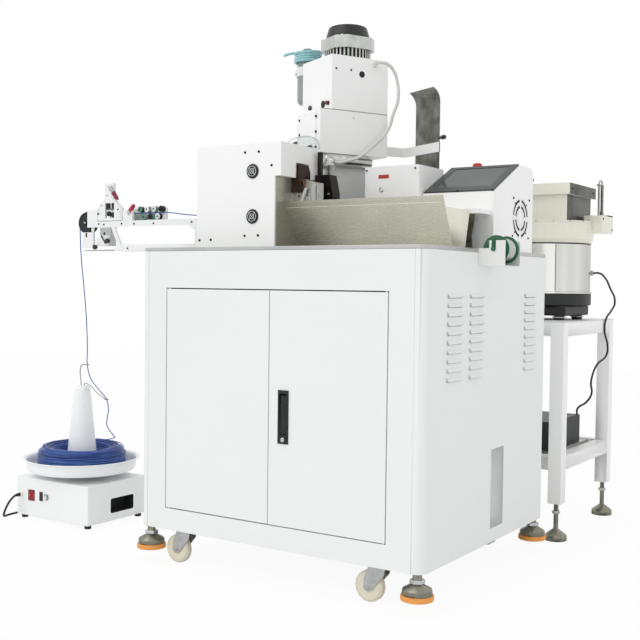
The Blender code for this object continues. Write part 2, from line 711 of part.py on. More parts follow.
def swing_gripper():
    black = material("gripper anodised black", (0.04, 0.03, 0.03), 0.4, 0.6)
    px, py = POST
    body = [(GRIP_X[0] - px, GRIP_Z[0]), (GRIP_X[1] - px, GRIP_Z[0]), (GRIP_X[1] - px, GRIP_Z[0] + 0.04),
            (GRIP_X[1] - 0.012 - px, GRIP_Z[1]), (GRIP_X[0] - px, GRIP_Z[1])]
    arm_z = (GRIP_Z[0] + 0.004, GRIP_Z[0] + 0.022)
    made = place("swing_gripper", prism_mesh(body, GRIP_Y[0] - py, GRIP_Y[1] - py, "XZ"), black, (px, py, 0.0))
    fuse(made,
         prism_mesh([(GRIP_X[0] + 0.014 - px, GRIP_Y[1] - 0.004 - py), (GRIP_X[1] - 0.006 - px, GRIP_Y[1] - 0.004 - py),
                     (0.013, 0.0), (-0.013, 0.0)], *arm_z, "XY"),
         turned_mesh(rod_profile(POST_R - 0.001, arm_z[0] - 0.0005, arm_z[1] + 0.006), (0.0, 0.0, 0.0), "Z", SIDES))
    rod_start = GRIP_X[1] - px - 0.004
    lever = [(rod_start, GRIP_Z[0] + 0.034), (rod_start + 0.030, GRIP_Z[0] + 0.018),
             (rod_start + 0.030, GRIP_Z[0] + 0.012), (rod_start, GRIP_Z[0] + 0.024)]
    fuse(made, prism_mesh(lever, GRIP_Y[0] + 0.012 - py, GRIP_Y[0] + 0.018 - py, "XZ"))


# Crimping press

def press():
    at = (*PRESS_AT, 0.0)
    white = material("press white powder coat", (0.91, 0.92, 0.92), 0.45)
    grey = material("press cast light grey", (0.74, 0.75, 0.74), 0.5)
    knob = material("press knob black", (0.02, 0.02, 0.02), 0.4)
    clear = material("guard clear acrylic", (0.80, 0.84, 0.86), 0.1)
    lamp = material("press lamp dark red", (0.30, 0.01, 0.01), 0.3)
    front = COLUMN_B[0]
    bed_front = -0.052
    side = [(bed_front, ON_DECK), (COLUMN_B[1] + 0.02, ON_DECK), (COLUMN_B[1] + 0.02, ON_DECK + 0.03),
            (COLUMN_B[1], ON_DECK + 0.06), (COLUMN_B[1], PRESS_LOW - SEAT),
            (front, PRESS_LOW - SEAT), (front, BED_TOP + 0.02), (front - 0.006, BED_TOP + 0.006),
            (front - 0.02, BED_TOP), (bed_front, BED_TOP)]
    bright = material("cylinder polished steel", (0.66, 0.66, 0.65), 0.2, 1.0)
    frame = place("press_frame", prism_mesh(side, *COLUMN_A, "YZ"), grey, at, PRESS_TURN, [bright])
    die = box_mesh((RAM_A[0] + 0.008, RAM_A[1] - 0.008), (RAM_B[0] - 0.01, RAM_B[1] - 0.012),
                   (BED_TOP - 0.001, PRESS_LOW - 0.098 - RAM_STROKE - 0.006))
    fuse(frame, die)
    post = post_in_press()
    fuse(frame, box_mesh((COLUMN_A[1] - 0.020, post[0] + 0.012), (COLUMN_B[0] + RUN, COLUMN_B[0] + 0.044),
                         (ON_DECK + SINK / 4, ON_DECK + 0.010)),
         turned_mesh(rod_profile(POST_R, ON_DECK + SINK / 2, GRIP_Z[0] + 0.0032), post, "Z", SIDES))
    tube_r = 0.0175
    tube_a = COLUMN_A[1] + tube_r - 4 * SINK
    fuse(frame, turned_mesh([(0.0, 0.008), (tube_r - 0.003, 0.008), (tube_r - 0.003, 0.014), (tube_r, 0.016),
                             (tube_r, 0.166), (0.0, 0.166)], (tube_a, 0.0, PRESS_LOW - 0.004 - tube_r), "Y", SIDES),
         box_mesh((tube_a, tube_a + 0.030), (CONDUIT_END - 0.020, CONDUIT_END), (up(0.2457), up(0.2657))), slot=1)

    head = place("press_head", box_mesh((-PRESS_W, 0.0), (0.0, PRESS_DEPTH), (PRESS_LOW, PRESS_SPLIT - SEAT)),
                 white, at, PRESS_TURN, [clear])
    arch = []
    for radius in (GUARD[1], GUARD[1] - 0.003):
        angles = [math.pi * step / 10 for step in range(11)]
        row = [(GUARD[0] + radius * math.cos(angle), GUARD_LOW + radius * math.sin(angle)) for angle in angles]
        arch += row if not arch else row[::-1]
    fuse(head, prism_mesh(arch, -GUARD_OUT, SINK, "XZ"), slot=1)
    cut(head, box_mesh((RAM_A[0] - SEAT, RAM_A[1] + SEAT), (RAM_B[0] - SEAT, RAM_B[1] + SEAT),
                       (PRESS_LOW - 0.01, PRESS_LOW + 0.110)))
    fuse(head, box_mesh((-PRESS_W + 0.002, -0.022), (-PLATE_PROUD, SINK), (PRESS_LOW + 0.018, PRESS_SPLIT - 0.006)))

    place("press_ram", box_mesh(RAM_A, RAM_B, (PRESS_LOW - 0.098, PRESS_LOW + 0.070), 0.002),
          material("ram ground steel", (0.60, 0.60, 0.60), 0.3, 1.0), at, PRESS_TURN)

    cover = place("press_cover", box_mesh((-COVER_W, 0.0), (COVER_BACK, PRESS_DEPTH), (PRESS_SPLIT, PRESS_TOP),
                                          0.002), white, at, PRESS_TURN, [lamp, knob])
    button_a, button_z = press_button()
    cut(cover, turned_mesh(rod_profile(0.0062, -0.01, 0.014), (button_a, COVER_BACK, button_z), "Y", SMALL_SIDES))
    fuse(cover, turned_mesh([(0.0, -0.004), (0.004, -0.004), (0.0062, -0.002), (0.0062, SINK), (0.0, SINK)],
                            (button_a + 0.0296, COVER_BACK, button_z), "Y", SMALL_SIDES), slot=1)
    fuse(cover, turned_mesh([(0.0, -0.012), (0.007, -0.012), (0.008, -0.010), (0.008, SINK), (0.0, SINK)],
                            (-0.123, COVER_BACK, button_z - 0.0015), "Y", SMALL_SIDES), slot=2)
    fuse(cover, turned_mesh(rod_profile(0.0075, -SINK, CONDUIT_OUT), (0.0, *CONDUIT_TOP), "X", SMALL_SIDES))
    normal = Matrix.Rotation(PRESS_TURN, 3, "Z")
    spot = normal @ Vector((button_a, COVER_BACK, button_z)) + Vector(at)
    place("press_start_button",
          turned_mesh([(0.0, -0.005), (0.0048, -0.005), (0.0058, -0.004), (0.0058, 0.009), (0.0, 0.009)],
                      (0.0, 0.0, 0.0), "Y", SMALL_SIDES),
          material("button black", (0.02, 0.02, 0.02), 0.4), spot, PRESS_TURN)
    motor(at)
    press_fittings(at)


def post_in_press():
    # The swing post's place in the press's own axes.
    offset = Vector((POST[0] - PRESS_AT[0], POST[1] - PRESS_AT[1], 0.0))
    local = Matrix.Rotation(-PRESS_TURN, 3, "Z") @ offset
    return (local.x, local.y, 0.0)


def press_button():
    return (-0.0473, PRESS_SPLIT + 0.0195)


def motor(at):
    alloy = material("motor cast aluminium", (0.62, 0.62, 0.60), 0.4, 0.8)
    cowl_black = material("motor cowl black plastic", (0.02, 0.02, 0.02), 0.4)
    low = PRESS_TOP + SEAT
    fins = 22
    ring = []
    for fin in range(fins):
        for share, radius in ((0.0, MOTOR_R), (0.45, MOTOR_R), (0.55, MOTOR_R - 0.006), (0.9, MOTOR_R - 0.006)):
            angle = math.tau * (fin + share) / fins
            ring.append((MOTOR_A + radius * math.cos(angle), MOTOR_B + radius * math.sin(angle)))
    motor_body = place("press_motor", prism_mesh(ring, low, low + STATOR_H, "XY"), alloy, at, PRESS_TURN, [cowl_black])
    half = BELL / 2
    near = half - BELL_CUT
    bell = [(-near, -half), (near, -half), (half, -near), (half, near), (near, half), (-near, half),
            (-half, near), (-half, -near)]
    bell_top = low + STATOR_H + BELL_H
    fuse(motor_body, prism_mesh([(MOTOR_A + x, MOTOR_B + y) for x, y in bell], low + STATOR_H - SINK, bell_top, "XY"))
    fuse(motor_body, turned_mesh([(0.0, -SINK), (0.060, -SINK), (0.060, 0.006), (0.056, 0.024), (0.050, 0.033),
                                  (0.036, 0.0385), (0.0, 0.0400)], (MOTOR_A, MOTOR_B, bell_top), "Z", SIDES), slot=1)


def press_fittings(at):
    haze = material("bottle translucent plastic", (0.42, 0.44, 0.44), 0.35)
    band_white = material("bottle strap white plastic", (0.88, 0.88, 0.88), 0.4)
    centre = (BOTTLE_A, BOTTLE_B, 0.0)
    foot = PRESS_TOP - 0.116
    seat = PRESS_TOP + 0.024
    neck = 0.45 * BOTTLE_R
    strap = BOTTLE_R + 0.003
    body = [(0.0, foot), (0.6 * BOTTLE_R, foot), (0.9 * BOTTLE_R, foot + 0.008), (BOTTLE_R, foot + 0.020),
            (BOTTLE_R, PRESS_TOP - 0.030), (strap, PRESS_TOP - 0.030), (strap, PRESS_TOP - 0.002),
            (BOTTLE_R, PRESS_TOP - 0.002), (BOTTLE_R, PRESS_TOP + 0.006), (0.82 * BOTTLE_R, seat), (neck, seat),
            (neck, seat + 0.034), (0.0, seat + 0.034)]
    bottle = place("oil_bottle", turned_mesh(body, centre), haze, at, PRESS_TURN, [band_white])
    fuse(bottle, box_mesh((BOTTLE_A + BOTTLE_R, -COVER_W - SEAT), (BOTTLE_B - 0.012, BOTTLE_B + 0.012),
                          (PRESS_TOP - 0.029, PRESS_TOP - 0.003)), slot=1)

    cyan = material("air hose cyan polyurethane", (0.42, 0.72, 0.77), 0.35)
    low = seat + SEAT
    coil = [(0.018, low), (0.040, low), (0.046, low + 0.006), (0.046, low + 0.028), (0.040, low + 0.034),
            (0.026, low + 0.034), (0.018, low + 0.028)]
    place("air_hose_coil", turned_mesh(coil, centre, closed=True), cyan, at, PRESS_TURN)

    dark = material("guide dark stainless", (0.16, 0.16, 0.15), 0.4, 0.9)
    pale = material("guide bracket white", (0.90, 0.90, 0.90), 0.4)
    bend = PRESS_DEPTH + 0.063
    band = [(-0.003, PRESS_DEPTH + SEAT), (0.0, PRESS_DEPTH + SEAT), (0.0, bend - 0.006), (0.006, bend),
            (0.176, bend), (0.176, bend + 0.003), (0.005, bend + 0.003), (-0.003, bend - 0.005)]
    guide = place("terminal_guide", prism_mesh(band, PRESS_LOW + 0.005, PRESS_LOW + 0.033, "XY"), pale, at, PRESS_TURN,
                  [dark])
    sheet_b = bend + 0.003 - SINK
    turn_at = PRESS_LOW + 0.150
    curl = GUIDE_CURL
    outer = [(sheet_b + GUIDE_T, PRESS_LOW - 0.120), (sheet_b + GUIDE_T, turn_at)]
    inner = [(sheet_b, PRESS_LOW - 0.120), (sheet_b, turn_at)]
    for step in range(1, 8):
        angle = math.radians(65) * step / 7
        for row, radius in ((outer, curl + GUIDE_T), (inner, curl)):
            row.append((sheet_b - curl + radius * math.cos(angle), turn_at + radius * math.sin(angle)))
    fuse(guide, prism_mesh(outer + inner[::-1], 0.054, 0.172, "YZ"), slot=1)
    knob = [(0.0, 0.0), (0.0040, 0.0), (0.0040, 0.014), (0.0065, 0.016), (0.0065, 0.028), (0.0, 0.028)]
    fuse(guide, turned_mesh(knob,
                            (0.168, sheet_b + 0.001, PRESS_LOW + 0.045), "X", SMALL_SIDES), slot=1)


# Tin pot and its cover

def tin_pot():
    white = material("pot cover white powder coat", (0.91, 0.92, 0.92), 0.45)
    outer = rounded_outline(POT_X, POT_Y, 0.008, 3)
    cover = place("solder_cover", prism_mesh(outer, ON_DECK, POT_TOP, "XY"), white)
    cut(cover, box_mesh((POT_X[0] - 0.02, POT_X[1] - POT_WALL), (POT_Y[0] + POT_WALL, POT_Y[1] - POT_WALL),
                        (ON_DECK - 0.01, POT_TOP - POT_WALL)))
    middle = ((POT_X[0] + POT_X[1]) / 2, (POT_Y[0] + POT_Y[1]) / 2, 0.0)
    well = [(0.0, ON_DECK), (POT_R + 0.012, ON_DECK), (POT_R + 0.012, ON_DECK + 0.070), (POT_R, ON_DECK + 0.074),
            (POT_R, ON_DECK + 0.140), (POT_R - 0.004, ON_DECK + 0.140), (POT_R - 0.004, ON_DECK + 0.128),
            (0.0, ON_DECK + 0.128)]
    place("solder_pot", turned_mesh(well, middle), material("pot dark stainless", (0.30, 0.29, 0.28), 0.4, 0.9))


# Control housing

def control_housing():
    white = material("control housing white", (0.91, 0.92, 0.92), 0.45)
    back = BOX_Y[1]
    outline = [(BOX_Y[0], ON_DECK), (back, ON_DECK), (back, BOX_TOP - 0.014), (back - 0.018, BOX_TOP),
               (SCREEN_Y, BOX_TOP), (BOX_Y[0], BOX_LIP)]
    box = place("control_housing", prism_mesh(outline, *BOX_X, "YZ"), white)
    boss = -(FAN_MID + FAN_HUB[1] + SEAT)
    pocket = [(0.0, boss), (FAN_BOSS_R, boss), (FAN_BOSS_R, -FAN_DEEP), (FAN_R, -FAN_DEEP), (FAN_R, -GRILLE_T),
              (0.0, -GRILLE_T)]
    cut(box, turned_mesh(pocket, (BOX_X[1], FAN_Y, FAN_Z), "X", 24),
        turned_mesh(rod_profile(0.0090, -0.018, 0.01), (*STOP_AT, BOX_TOP), "Z", SMALL_SIDES))
    for inner, outer in ((0.046, 0.053), (0.029, 0.036)):
        for quarter in range(4):
            arc = []
            for radius, sweep in ((outer, range(7)), (inner, range(6, -1, -1))):
                for step in sweep:
                    angle = math.pi / 2 * (quarter + 0.09 + 0.82 * step / 6)
                    arc.append((FAN_Y + radius * math.cos(angle), FAN_Z + radius * math.sin(angle)))
            cut(box, prism_mesh(arc, BOX_X[1] - 2 * GRILLE_T, BOX_X[1] + GRILLE_T, "YZ"))
    guide = [(BODY_W - 0.158, ON_DECK), (BODY_W - 0.049, ON_DECK), (BODY_W - 0.052, up(0.0367)),
             (BODY_W - 0.042, SHELF_Z[0] + SINK), (BODY_W - 0.158, SHELF_Z[0] + SINK)]
    fuse(box, box_mesh(SHELF_X, (SHELF_Y, BOX_Y[0] + SINK), SHELF_Z),
         prism_mesh(guide, DEFLECTOR_Y, DEFLECTOR_Y + SHEET, "XZ"))

    lean = Vector((SCREEN_Y - BOX_Y[0], BOX_TOP - BOX_LIP)).normalized()
    out = Vector((-lean[1], lean[0]))
    foot = Vector((BOX_Y[0], BOX_LIP)) + out * SEAT + lean * 0.002
    head = Vector((SCREEN_Y, BOX_TOP)) + out * SEAT - lean * 0.001
    slab = [tuple(foot), tuple(head), tuple(head + out * SCREEN_T), tuple(foot + out * SCREEN_T)]
    panel = place("touch_panel", prism_mesh(slab, BOX_X[0] + 0.002, BOX_X[1] - 0.002, "YZ"),
                  material("screen glass dark", (0.07, 0.08, 0.075), 0.25))
    step = 0.0012
    glass_foot = foot + lean * 0.030 + out * (SCREEN_T - step)
    glass_head = head - lean * 0.016 + out * (SCREEN_T - step)
    well = [tuple(glass_foot), tuple(glass_head), tuple(glass_head + out * 0.01), tuple(glass_foot + out * 0.01)]
    cut(panel, prism_mesh(well, BOX_X[0] + 0.022, BOX_X[1] - 0.022, "YZ"))

    red = material("stop button red", (0.62, 0.06, 0.05), 0.4)
    place("stop_button", turned_mesh([(0.0, -0.012), (0.0082, -0.012), (0.0082, 0.0045), (0.0135, 0.0050),
                                      (0.0140, 0.0120), (0.0110, 0.0165), (0.0, 0.0175)], (0.0, 0.0, 0.0), "Z", SIDES),
          red, (*STOP_AT, BOX_TOP))

    blades = 7
    hub, thick = FAN_HUB
    fan = place("housing_fan", turned_mesh(rod_profile(hub, -thick, thick), (0.0, 0.0, 0.0), "X", SIDES),
                material("fan black plastic", (0.03, 0.03, 0.03), 0.5), (BOX_X[1] - FAN_MID, FAN_Y, FAN_Z))
    for number in range(blades):
        angle = math.tau * number / blades
        blade = bmesh.new()
        grow_prism(blade, [(-0.007, -0.002), (0.007, 0.004), (0.007, 0.006), (-0.007, 0.0)], hub - 0.003,
                   FAN_R - 0.003, "XY")
        bmesh.ops.rotate(blade, verts=blade.verts, cent=(0, 0, 0), matrix=Matrix.Rotation(angle, 3, "X"))
        fuse(fan, blade)


# Solder spool on the cabinet's right side

def spool():
    white = material("spool bracket white", (0.90, 0.90, 0.88), 0.45)
    left = BODY_W + SEAT
    bracket = place("spool_bracket", box_mesh((left, BRACKET_X), BRACKET_Y, (BRACKET_LOW, SPOOL_Z + 0.022)), white)
    cut(bracket, box_mesh((left + SHEET, BRACKET_X + 0.01), (BRACKET_Y[0] + SHEET, BRACKET_Y[1] - SHEET),
                          (BRACKET_LOW + SHEET, SPOOL_Z + 0.05)))
    slot = SPOOL_AXLE + SEAT
    groove = [(SPOOL_X - slot, SPOOL_Z + 0.05), (SPOOL_X - slot, SPOOL_Z)]
    for step in range(1, 7):
        angle = math.pi + math.pi * step / 6
        groove.append((SPOOL_X + slot * math.cos(angle), SPOOL_Z + slot * math.sin(angle)))
    groove.append((SPOOL_X + slot, SPOOL_Z + 0.05))
    cut(bracket, prism_mesh(groove, BRACKET_Y[0] - 0.01, BRACKET_Y[1] + 0.01, "XZ"),
        box_mesh((left - 0.001, SPOOL_X - 0.012), (BRACKET_Y[0] - 0.01, BRACKET_Y[1] + 0.01),
                 (SPOOL_Z + 0.002, SPOOL_Z + 0.05)))
    green = material("spool green plastic", (0.03, 0.15, 0.08), 0.4)
    half = (SPOOL_Y[1] - SPOOL_Y[0]) / 2
    end = (BRACKET_Y[1] - BRACKET_Y[0]) / 2 + 0.004
    profile = [(0.0, -end), (SPOOL_AXLE, -end), (SPOOL_AXLE, -half), (SPOOL_R, -half), (SPOOL_R, 0.004 - half),
               (0.027, 0.004 - half), (0.029, 0.007 - half), (0.029, half - 0.007), (0.027, half - 0.004),
               (SPOOL_R, half - 0.004), (SPOOL_R, half), (SPOOL_AXLE, half), (SPOOL_AXLE, end), (0.0, end)]
    place("solder_spool", turned_mesh(profile, (0.0, 0.0, 0.0), "Y", SIDES), green,
          (SPOOL_X, sum(SPOOL_Y) / 2, SPOOL_Z))


# Feed arm with straightener and encoder

def feed_arm():
    white = material("feed arm white powder coat", (0.90, 0.91, 0.90), 0.45)
    bright = material("feed arm bright steel", (0.62, 0.62, 0.61), 0.3, 1.0)
    foot = (ON_DECK, up(0.0197))
    frame = [(ARM_X[0], ARM_Z[0]), (-0.312, ARM_Z[0]), (-0.283, foot[1]), (-0.298, foot[0]), (ARM_X[1], foot[0]),
             (ARM_X[1], ARM_Z[1]), (ARM_X[0], ARM_Z[1])]
    arm = place("feed_arm", prism_mesh(frame, ARM_Y[0], ARM_Y[0] + ARM_T, "XZ"), white, extra=[bright])
    window = [(-0.296, ARM_Z[0]), (-0.268, foot[1]), (0.030, foot[1]), (0.030, up(0.0587)), (0.004, ARM_Z[0])]
    cut(arm, prism_mesh(window, ARM_Y[0] - 0.01, ARM_Y[1], "XZ"))
    fuse(arm, box_mesh((-0.375, ARM_X[1]), (ARM_Y[0] + 0.001, ARM_Y[1]), (ARM_Z[1] - ARM_T, ARM_Z[1])),
         box_mesh((-0.2965, ARM_X[1] - 0.0001), (ARM_Y[0] + 0.001, ARM_Y[1] + 0.010), (foot[0], foot[0] + ARM_T)))

    front = ARM_Y[0] + 0.001
    back = front + TOWER_T
    tower = [(-0.370, ARM_Z[1] - SINK), (-0.266, ARM_Z[1] - SINK), (-0.266, up(0.1327)), (-0.301, up(0.1647)),
             (-0.301, up(0.2127)), (-0.340, up(0.2127)), (-0.340, up(0.1647)), (-0.370, up(0.1327))]
    fuse(arm, prism_mesh(tower, front, back, "XZ"))
    cut(arm, box_mesh((-0.338, -0.299), (front - 0.01, front + 0.02), (up(0.1037), up(0.1507))))
    lower = WIRE_Z - WIRE_R - SEAT - ROLLER_R
    upper = WIRE_Z + WIRE_R + SEAT + ROLLER_R
    fuse(arm, box_mesh((TOWER_X - 0.004, TOWER_X + 0.004), (back - SINK, back + 0.003), (ARM_Z[1] + RUN, up(0.2047))),
         box_mesh((-0.416, -0.371), (ARM_Y[0] + SINK, ARM_Y[0] + ARM_T - 2 * SINK), (ARM_Z[1] - SINK, up(0.1307))),
         box_mesh((-0.246, -0.106), (ARM_Y[0] + ARM_T, ARM_Y[0] + BANK_BACK), (ARM_Z[1] - SINK, upper + 0.004)))
    for z in (up(0.1387), lower):
        fuse(arm, turned_mesh(rod_profile(ROLLER_R, back + 0.002, back + 0.020), (TOWER_X, 0.0, z), "Y", SMALL_SIDES),
             slot=1)
    for row, z in (((-0.188, -0.160, -0.130), lower), ((-0.203, -0.174, -0.146, -0.117), upper)):
        for x in row:
            fuse(arm, turned_mesh(rod_profile(ROLLER_R, ARM_Y[0] + BANK_BACK - RUN, ARM_Y[0] + BANK_BACK + 0.012),
                                  (x, 0.0, z), "Y", SMALL_SIDES), slot=1)
    behind = ARM_Y[0] + ARM_T - SINK
    fuse(arm, box_mesh((-0.434, -0.386), (ARM_Y[0] - 0.018, behind), (up(0.0117), up(0.0602))),
         box_mesh((-0.397, -0.388), (ARM_Y[0] + SINK, behind - SINK), (up(0.0597), ARM_Z[0] + SINK)),
         box_mesh((-0.361, -0.316), (ARM_Y[0] + SINK, ARM_Y[0] + 0.030), (up(0.0437), ARM_Z[0] + SINK)),
         box_mesh((-0.374, -0.322), (ARM_Y[0] + 2 * SINK, ARM_Y[0] + 0.034), (up(0.0167), up(0.0437) + SINK)))

    bar_z = ON_DECK + 0.003
    fuse(arm, turned_mesh(rod_profile(0.002, EYE[0] + 0.005, -0.2960), (0.0, EYE[1], bar_z), "X", SMALL_SIDES),
         turned_mesh(eye_section(0.006, 0.0015), (*EYE, bar_z), "Z", SMALL_SIDES, closed=True),
         turned_mesh(rod_profile(PIN_R, ARM_Y[0] + SINK, ARM_Y[0] + ARM_T + WHEEL_T), (ENCODER[0], 0.0, ENCODER[1]),
                     "Y", SMALL_SIDES), slot=1)

    grooved = [(PIN_R + SEAT, 0.0), (0.007, 0.0), (0.007, 0.004), (ENCODER_R, 0.004),
               (ENCODER_R, WHEEL_T / 2 - 0.003), (ENCODER_R - 0.0015, WHEEL_T / 2), (ENCODER_R, WHEEL_T / 2 + 0.003), (ENCODER_R, WHEEL_T),
               (PIN_R + SEAT, WHEEL_T)]
    place("encoder_wheel", turned_mesh(grooved, (0.0, 0.0, 0.0), "Y", 24, closed=True),
          material("encoder black rubber", (0.02, 0.02, 0.02), 0.6),
          (ENCODER[0], ARM_Y[0] + ARM_T + SEAT, ENCODER[1]))

    crimson = material("cam lever crimson plastic", (0.45, 0.02, 0.05), 0.35)
    levers = (("cam_lever_tower", (-0.308, up(0.1937)), front, math.radians(-50)),
              ("cam_lever_rollers", (-0.236, up(0.1187)), ARM_Y[0] + ARM_T, math.radians(48)))
    for name, (x, z), face, angle in levers:
        fuse(arm, turned_mesh(rod_profile(LEVER_PIN, face - LEVER_DEEP - SEAT, face + SINK), (x, 0.0, z), "Y", 10),
             slot=1)
        handle = place(name, prism_mesh([(-0.006, -0.006), (0.008, -0.006), (0.032, -0.0050), (0.038, 0.0),
                                         (0.032, 0.0050), (0.008, 0.006), (-0.006, 0.006)],
                                        -LEVER_DEEP / 2, LEVER_DEEP / 2, "XZ"), crimson,
                       (x, face - SEAT - LEVER_DEEP / 2, z))
        handle.data.transform(Matrix.Rotation(-angle, 4, "Y"))
        cut(handle, turned_mesh(rod_profile(LEVER_PIN + SEAT, -LEVER_DEEP, LEVER_DEEP), (0.0, 0.0, 0.0), "Y", 10))


# Wire pay-off unit

def payoff():
    white = material("pay-off white powder coat", (0.90, 0.91, 0.91), 0.45)
    trim = material("pay-off trim black", (0.03, 0.03, 0.03), 0.5)
    box = place("payoff_housing", box_mesh(PAY_X, PAY_Y, PAY_Z, 0.002), white, extra=[trim])
    grip = rounded_outline((0.258, 0.364), (0.036, 0.084), 0.006, 2)
    cut(box, prism_mesh(grip, PAY_X[1] - 0.045, PAY_X[1] + 0.01, "YZ"))
    rocker_x, rocker_z = rocker_place()
    cut(box, box_mesh((rocker_x - 0.0125, rocker_x + 0.0125), (PAY_Y[0] - 0.01, PAY_Y[0] + 0.014),
                      (rocker_z - 0.0160, rocker_z + 0.0160)))
    bm = bmesh.new()
    for x in (PAY_X[0] + 0.018, PAY_X[1] - 0.018):
        for y in (PAY_Y[0] + 0.018, PAY_Y[1] - 0.018):
            grow_turned(bm, rod_profile(0.011, 0.0, PAY_Z[0] + SINK), (x, y, 0.0), "Z", SMALL_SIDES)
    face = PAY_Y[0]
    grow_turned(bm, [(0.0, -GLAND_L), (0.006, -GLAND_L), (0.009, -GLAND_L / 2), (0.009, SINK), (0.0, SINK)],
                (gland()[0], face, gland()[2]), "Y", SMALL_SIDES)
    grow_box(bm, (-0.5880, -0.5750), (face - 0.003, face + SINK), (0.068, 0.097))
    fuse(box, bm, slot=1)
    middle = (sum(PAY_X) / 2, sum(PAY_Y) / 2, 0.0)
    fuse(box, turned_mesh(rod_profile(0.045, PAY_Z[1] - SINK, DISH_Z[0] - SEAT), middle))

    cut(box, turned_mesh(rod_profile(KNOB_PIN + SEAT, -0.01, 0.012), (KNOB_X, face, KNOB_Z), "Y", SMALL_SIDES))
    place("speed_knob", turned_mesh([(0.0, -0.0075), (0.008, -0.0075), (0.0095, -0.0055), (0.0095, -SEAT),
                                     (KNOB_PIN, -SEAT), (KNOB_PIN, 0.010), (0.0, 0.010)], (0.0, 0.0, 0.0), "Y", SIDES),
          trim, (KNOB_X, face, KNOB_Z))
    place("rocker_switch",
          prism_mesh([(-0.0045, -0.0145), (-0.0020, 0.0), (-0.0075, 0.0145), (0.004, 0.0145), (0.006, 0.0),
                      (0.004, -0.0145)], -0.0120, 0.0120, "YZ"),
          material("rocker red plastic", (0.45, 0.02, 0.03), 0.3), (rocker_x, PAY_Y[0] + 0.004, rocker_z))

    cone = [(0.0, DISH_Z[0]), (0.020, DISH_Z[0]), (0.020, DISH_Z[0] + 0.006),
            (CONE_R[0], DISH_Z[0] + 0.006), (CONE_R[0], DISH_Z[0] + 0.010), (CONE_R[1] + 0.001, CONE_TOP - 0.012),
            (CONE_R[1] - 0.003, CONE_TOP - 0.003), (CONE_R[1] - 0.012, CONE_TOP), (0.0, CONE_TOP)]
    tapered = place("payoff_cone", turned_mesh(cone, middle, "Z", 24), material("cone white enamel",
                    (0.88, 0.88, 0.86), 0.35), extra=[material("guide rod bright wire", (0.6, 0.6, 0.6), 0.3, 1.0)])
    hook_parts(tapered, middle)

    rim = DISH_Z[1]
    dish = [(0.0235, DISH_Z[0]), (DISH_FOOT_R, DISH_Z[0]), (DISH_FOOT_R + 0.012, DISH_Z[0] + 0.006),
            (DISH_R - 0.006, rim - 0.006), (DISH_R, rim - 0.003), (DISH_R, rim), (DISH_R - 0.008, rim),
            (DISH_FOOT_R + 0.008, DISH_Z[0] + 0.007), (DISH_FOOT_R, DISH_Z[0] + 0.0035), (0.0235, DISH_Z[0] + 0.0035)]
    place("turntable", turned_mesh(dish, (0.0, 0.0, 0.0), "Z", 32, closed=True),
          material("dish white enamel", (0.88, 0.88, 0.87), 0.35), middle)

    low = DISH_Z[0] + 0.0035 + SEAT
    inner, outer = COIL_R
    ring = [(inner, low + 0.020), (inner + 0.010, low + 0.004), (inner + 0.026, low), (outer - 0.028, low),
            (outer - 0.010, low + 0.006), (outer, low + 0.022), (outer, low + COIL_H - 0.030),
            (outer - 0.012, low + COIL_H - 0.010), (outer - 0.034, low + COIL_H), (inner + 0.026, low + COIL_H),
            (inner + 0.008, low + COIL_H - 0.012), (inner, low + COIL_H - 0.030)]
    place("wire_coil", turned_mesh(ring, (0.0, 0.0, 0.0), "Z", 28, closed=True),
          material("coil blue insulation", (0.05, 0.12, 0.42), 0.4), middle)


def rocker_place():
    return (-0.628, 0.081)


def gland():
    return (-0.677, PAY_Y[0] - GLAND_L, 0.079)


def hook_parts(cone, middle):
    # The bent wire guide that stands on the cone and carries the two eyes.
    x, y = middle[0], middle[1]
    upper, lower = EYES
    top = CONE_TOP - 0.004
    reach = 0.006
    route = [(x - 0.006, y, top), (x - 0.006, y, top + 0.012), (x - 0.009, y, top + 0.030),
             (x - 0.010, y, upper[1] - 0.018), (x - 0.004, y, upper[1] - 0.003), (x + upper[0] - reach, y, upper[1])]
    side = [(x + 0.007, y, top), (x + 0.011, y, top + 0.009), (x + 0.030, y, top + 0.007),
            (x + 0.070, y, lower[1] + 0.018), (x + lower[0] - reach, y, lower[1] + 0.001)]
    for points in (route, side):
        rod = cord("rod", points, 0.0018, cone.data.materials[1], 0.016, 3)
        bpy.context.view_layer.update()
        graph = bpy.context.evaluated_depsgraph_get()
        solid = bpy.data.objects.new("rod solid", bpy.data.meshes.new_from_object(rod.evaluated_get(graph)))
        bpy.context.collection.objects.link(solid)
        bpy.data.objects.remove(rod)
        combine(cone, solid, "UNION")
    for offset, z in EYES:
        fuse(cone, turned_mesh(eye_section(0.0075, 0.0018), (x + offset, y, z), "Z", SMALL_SIDES, closed=True), slot=1)


# Bowl feeder and stand

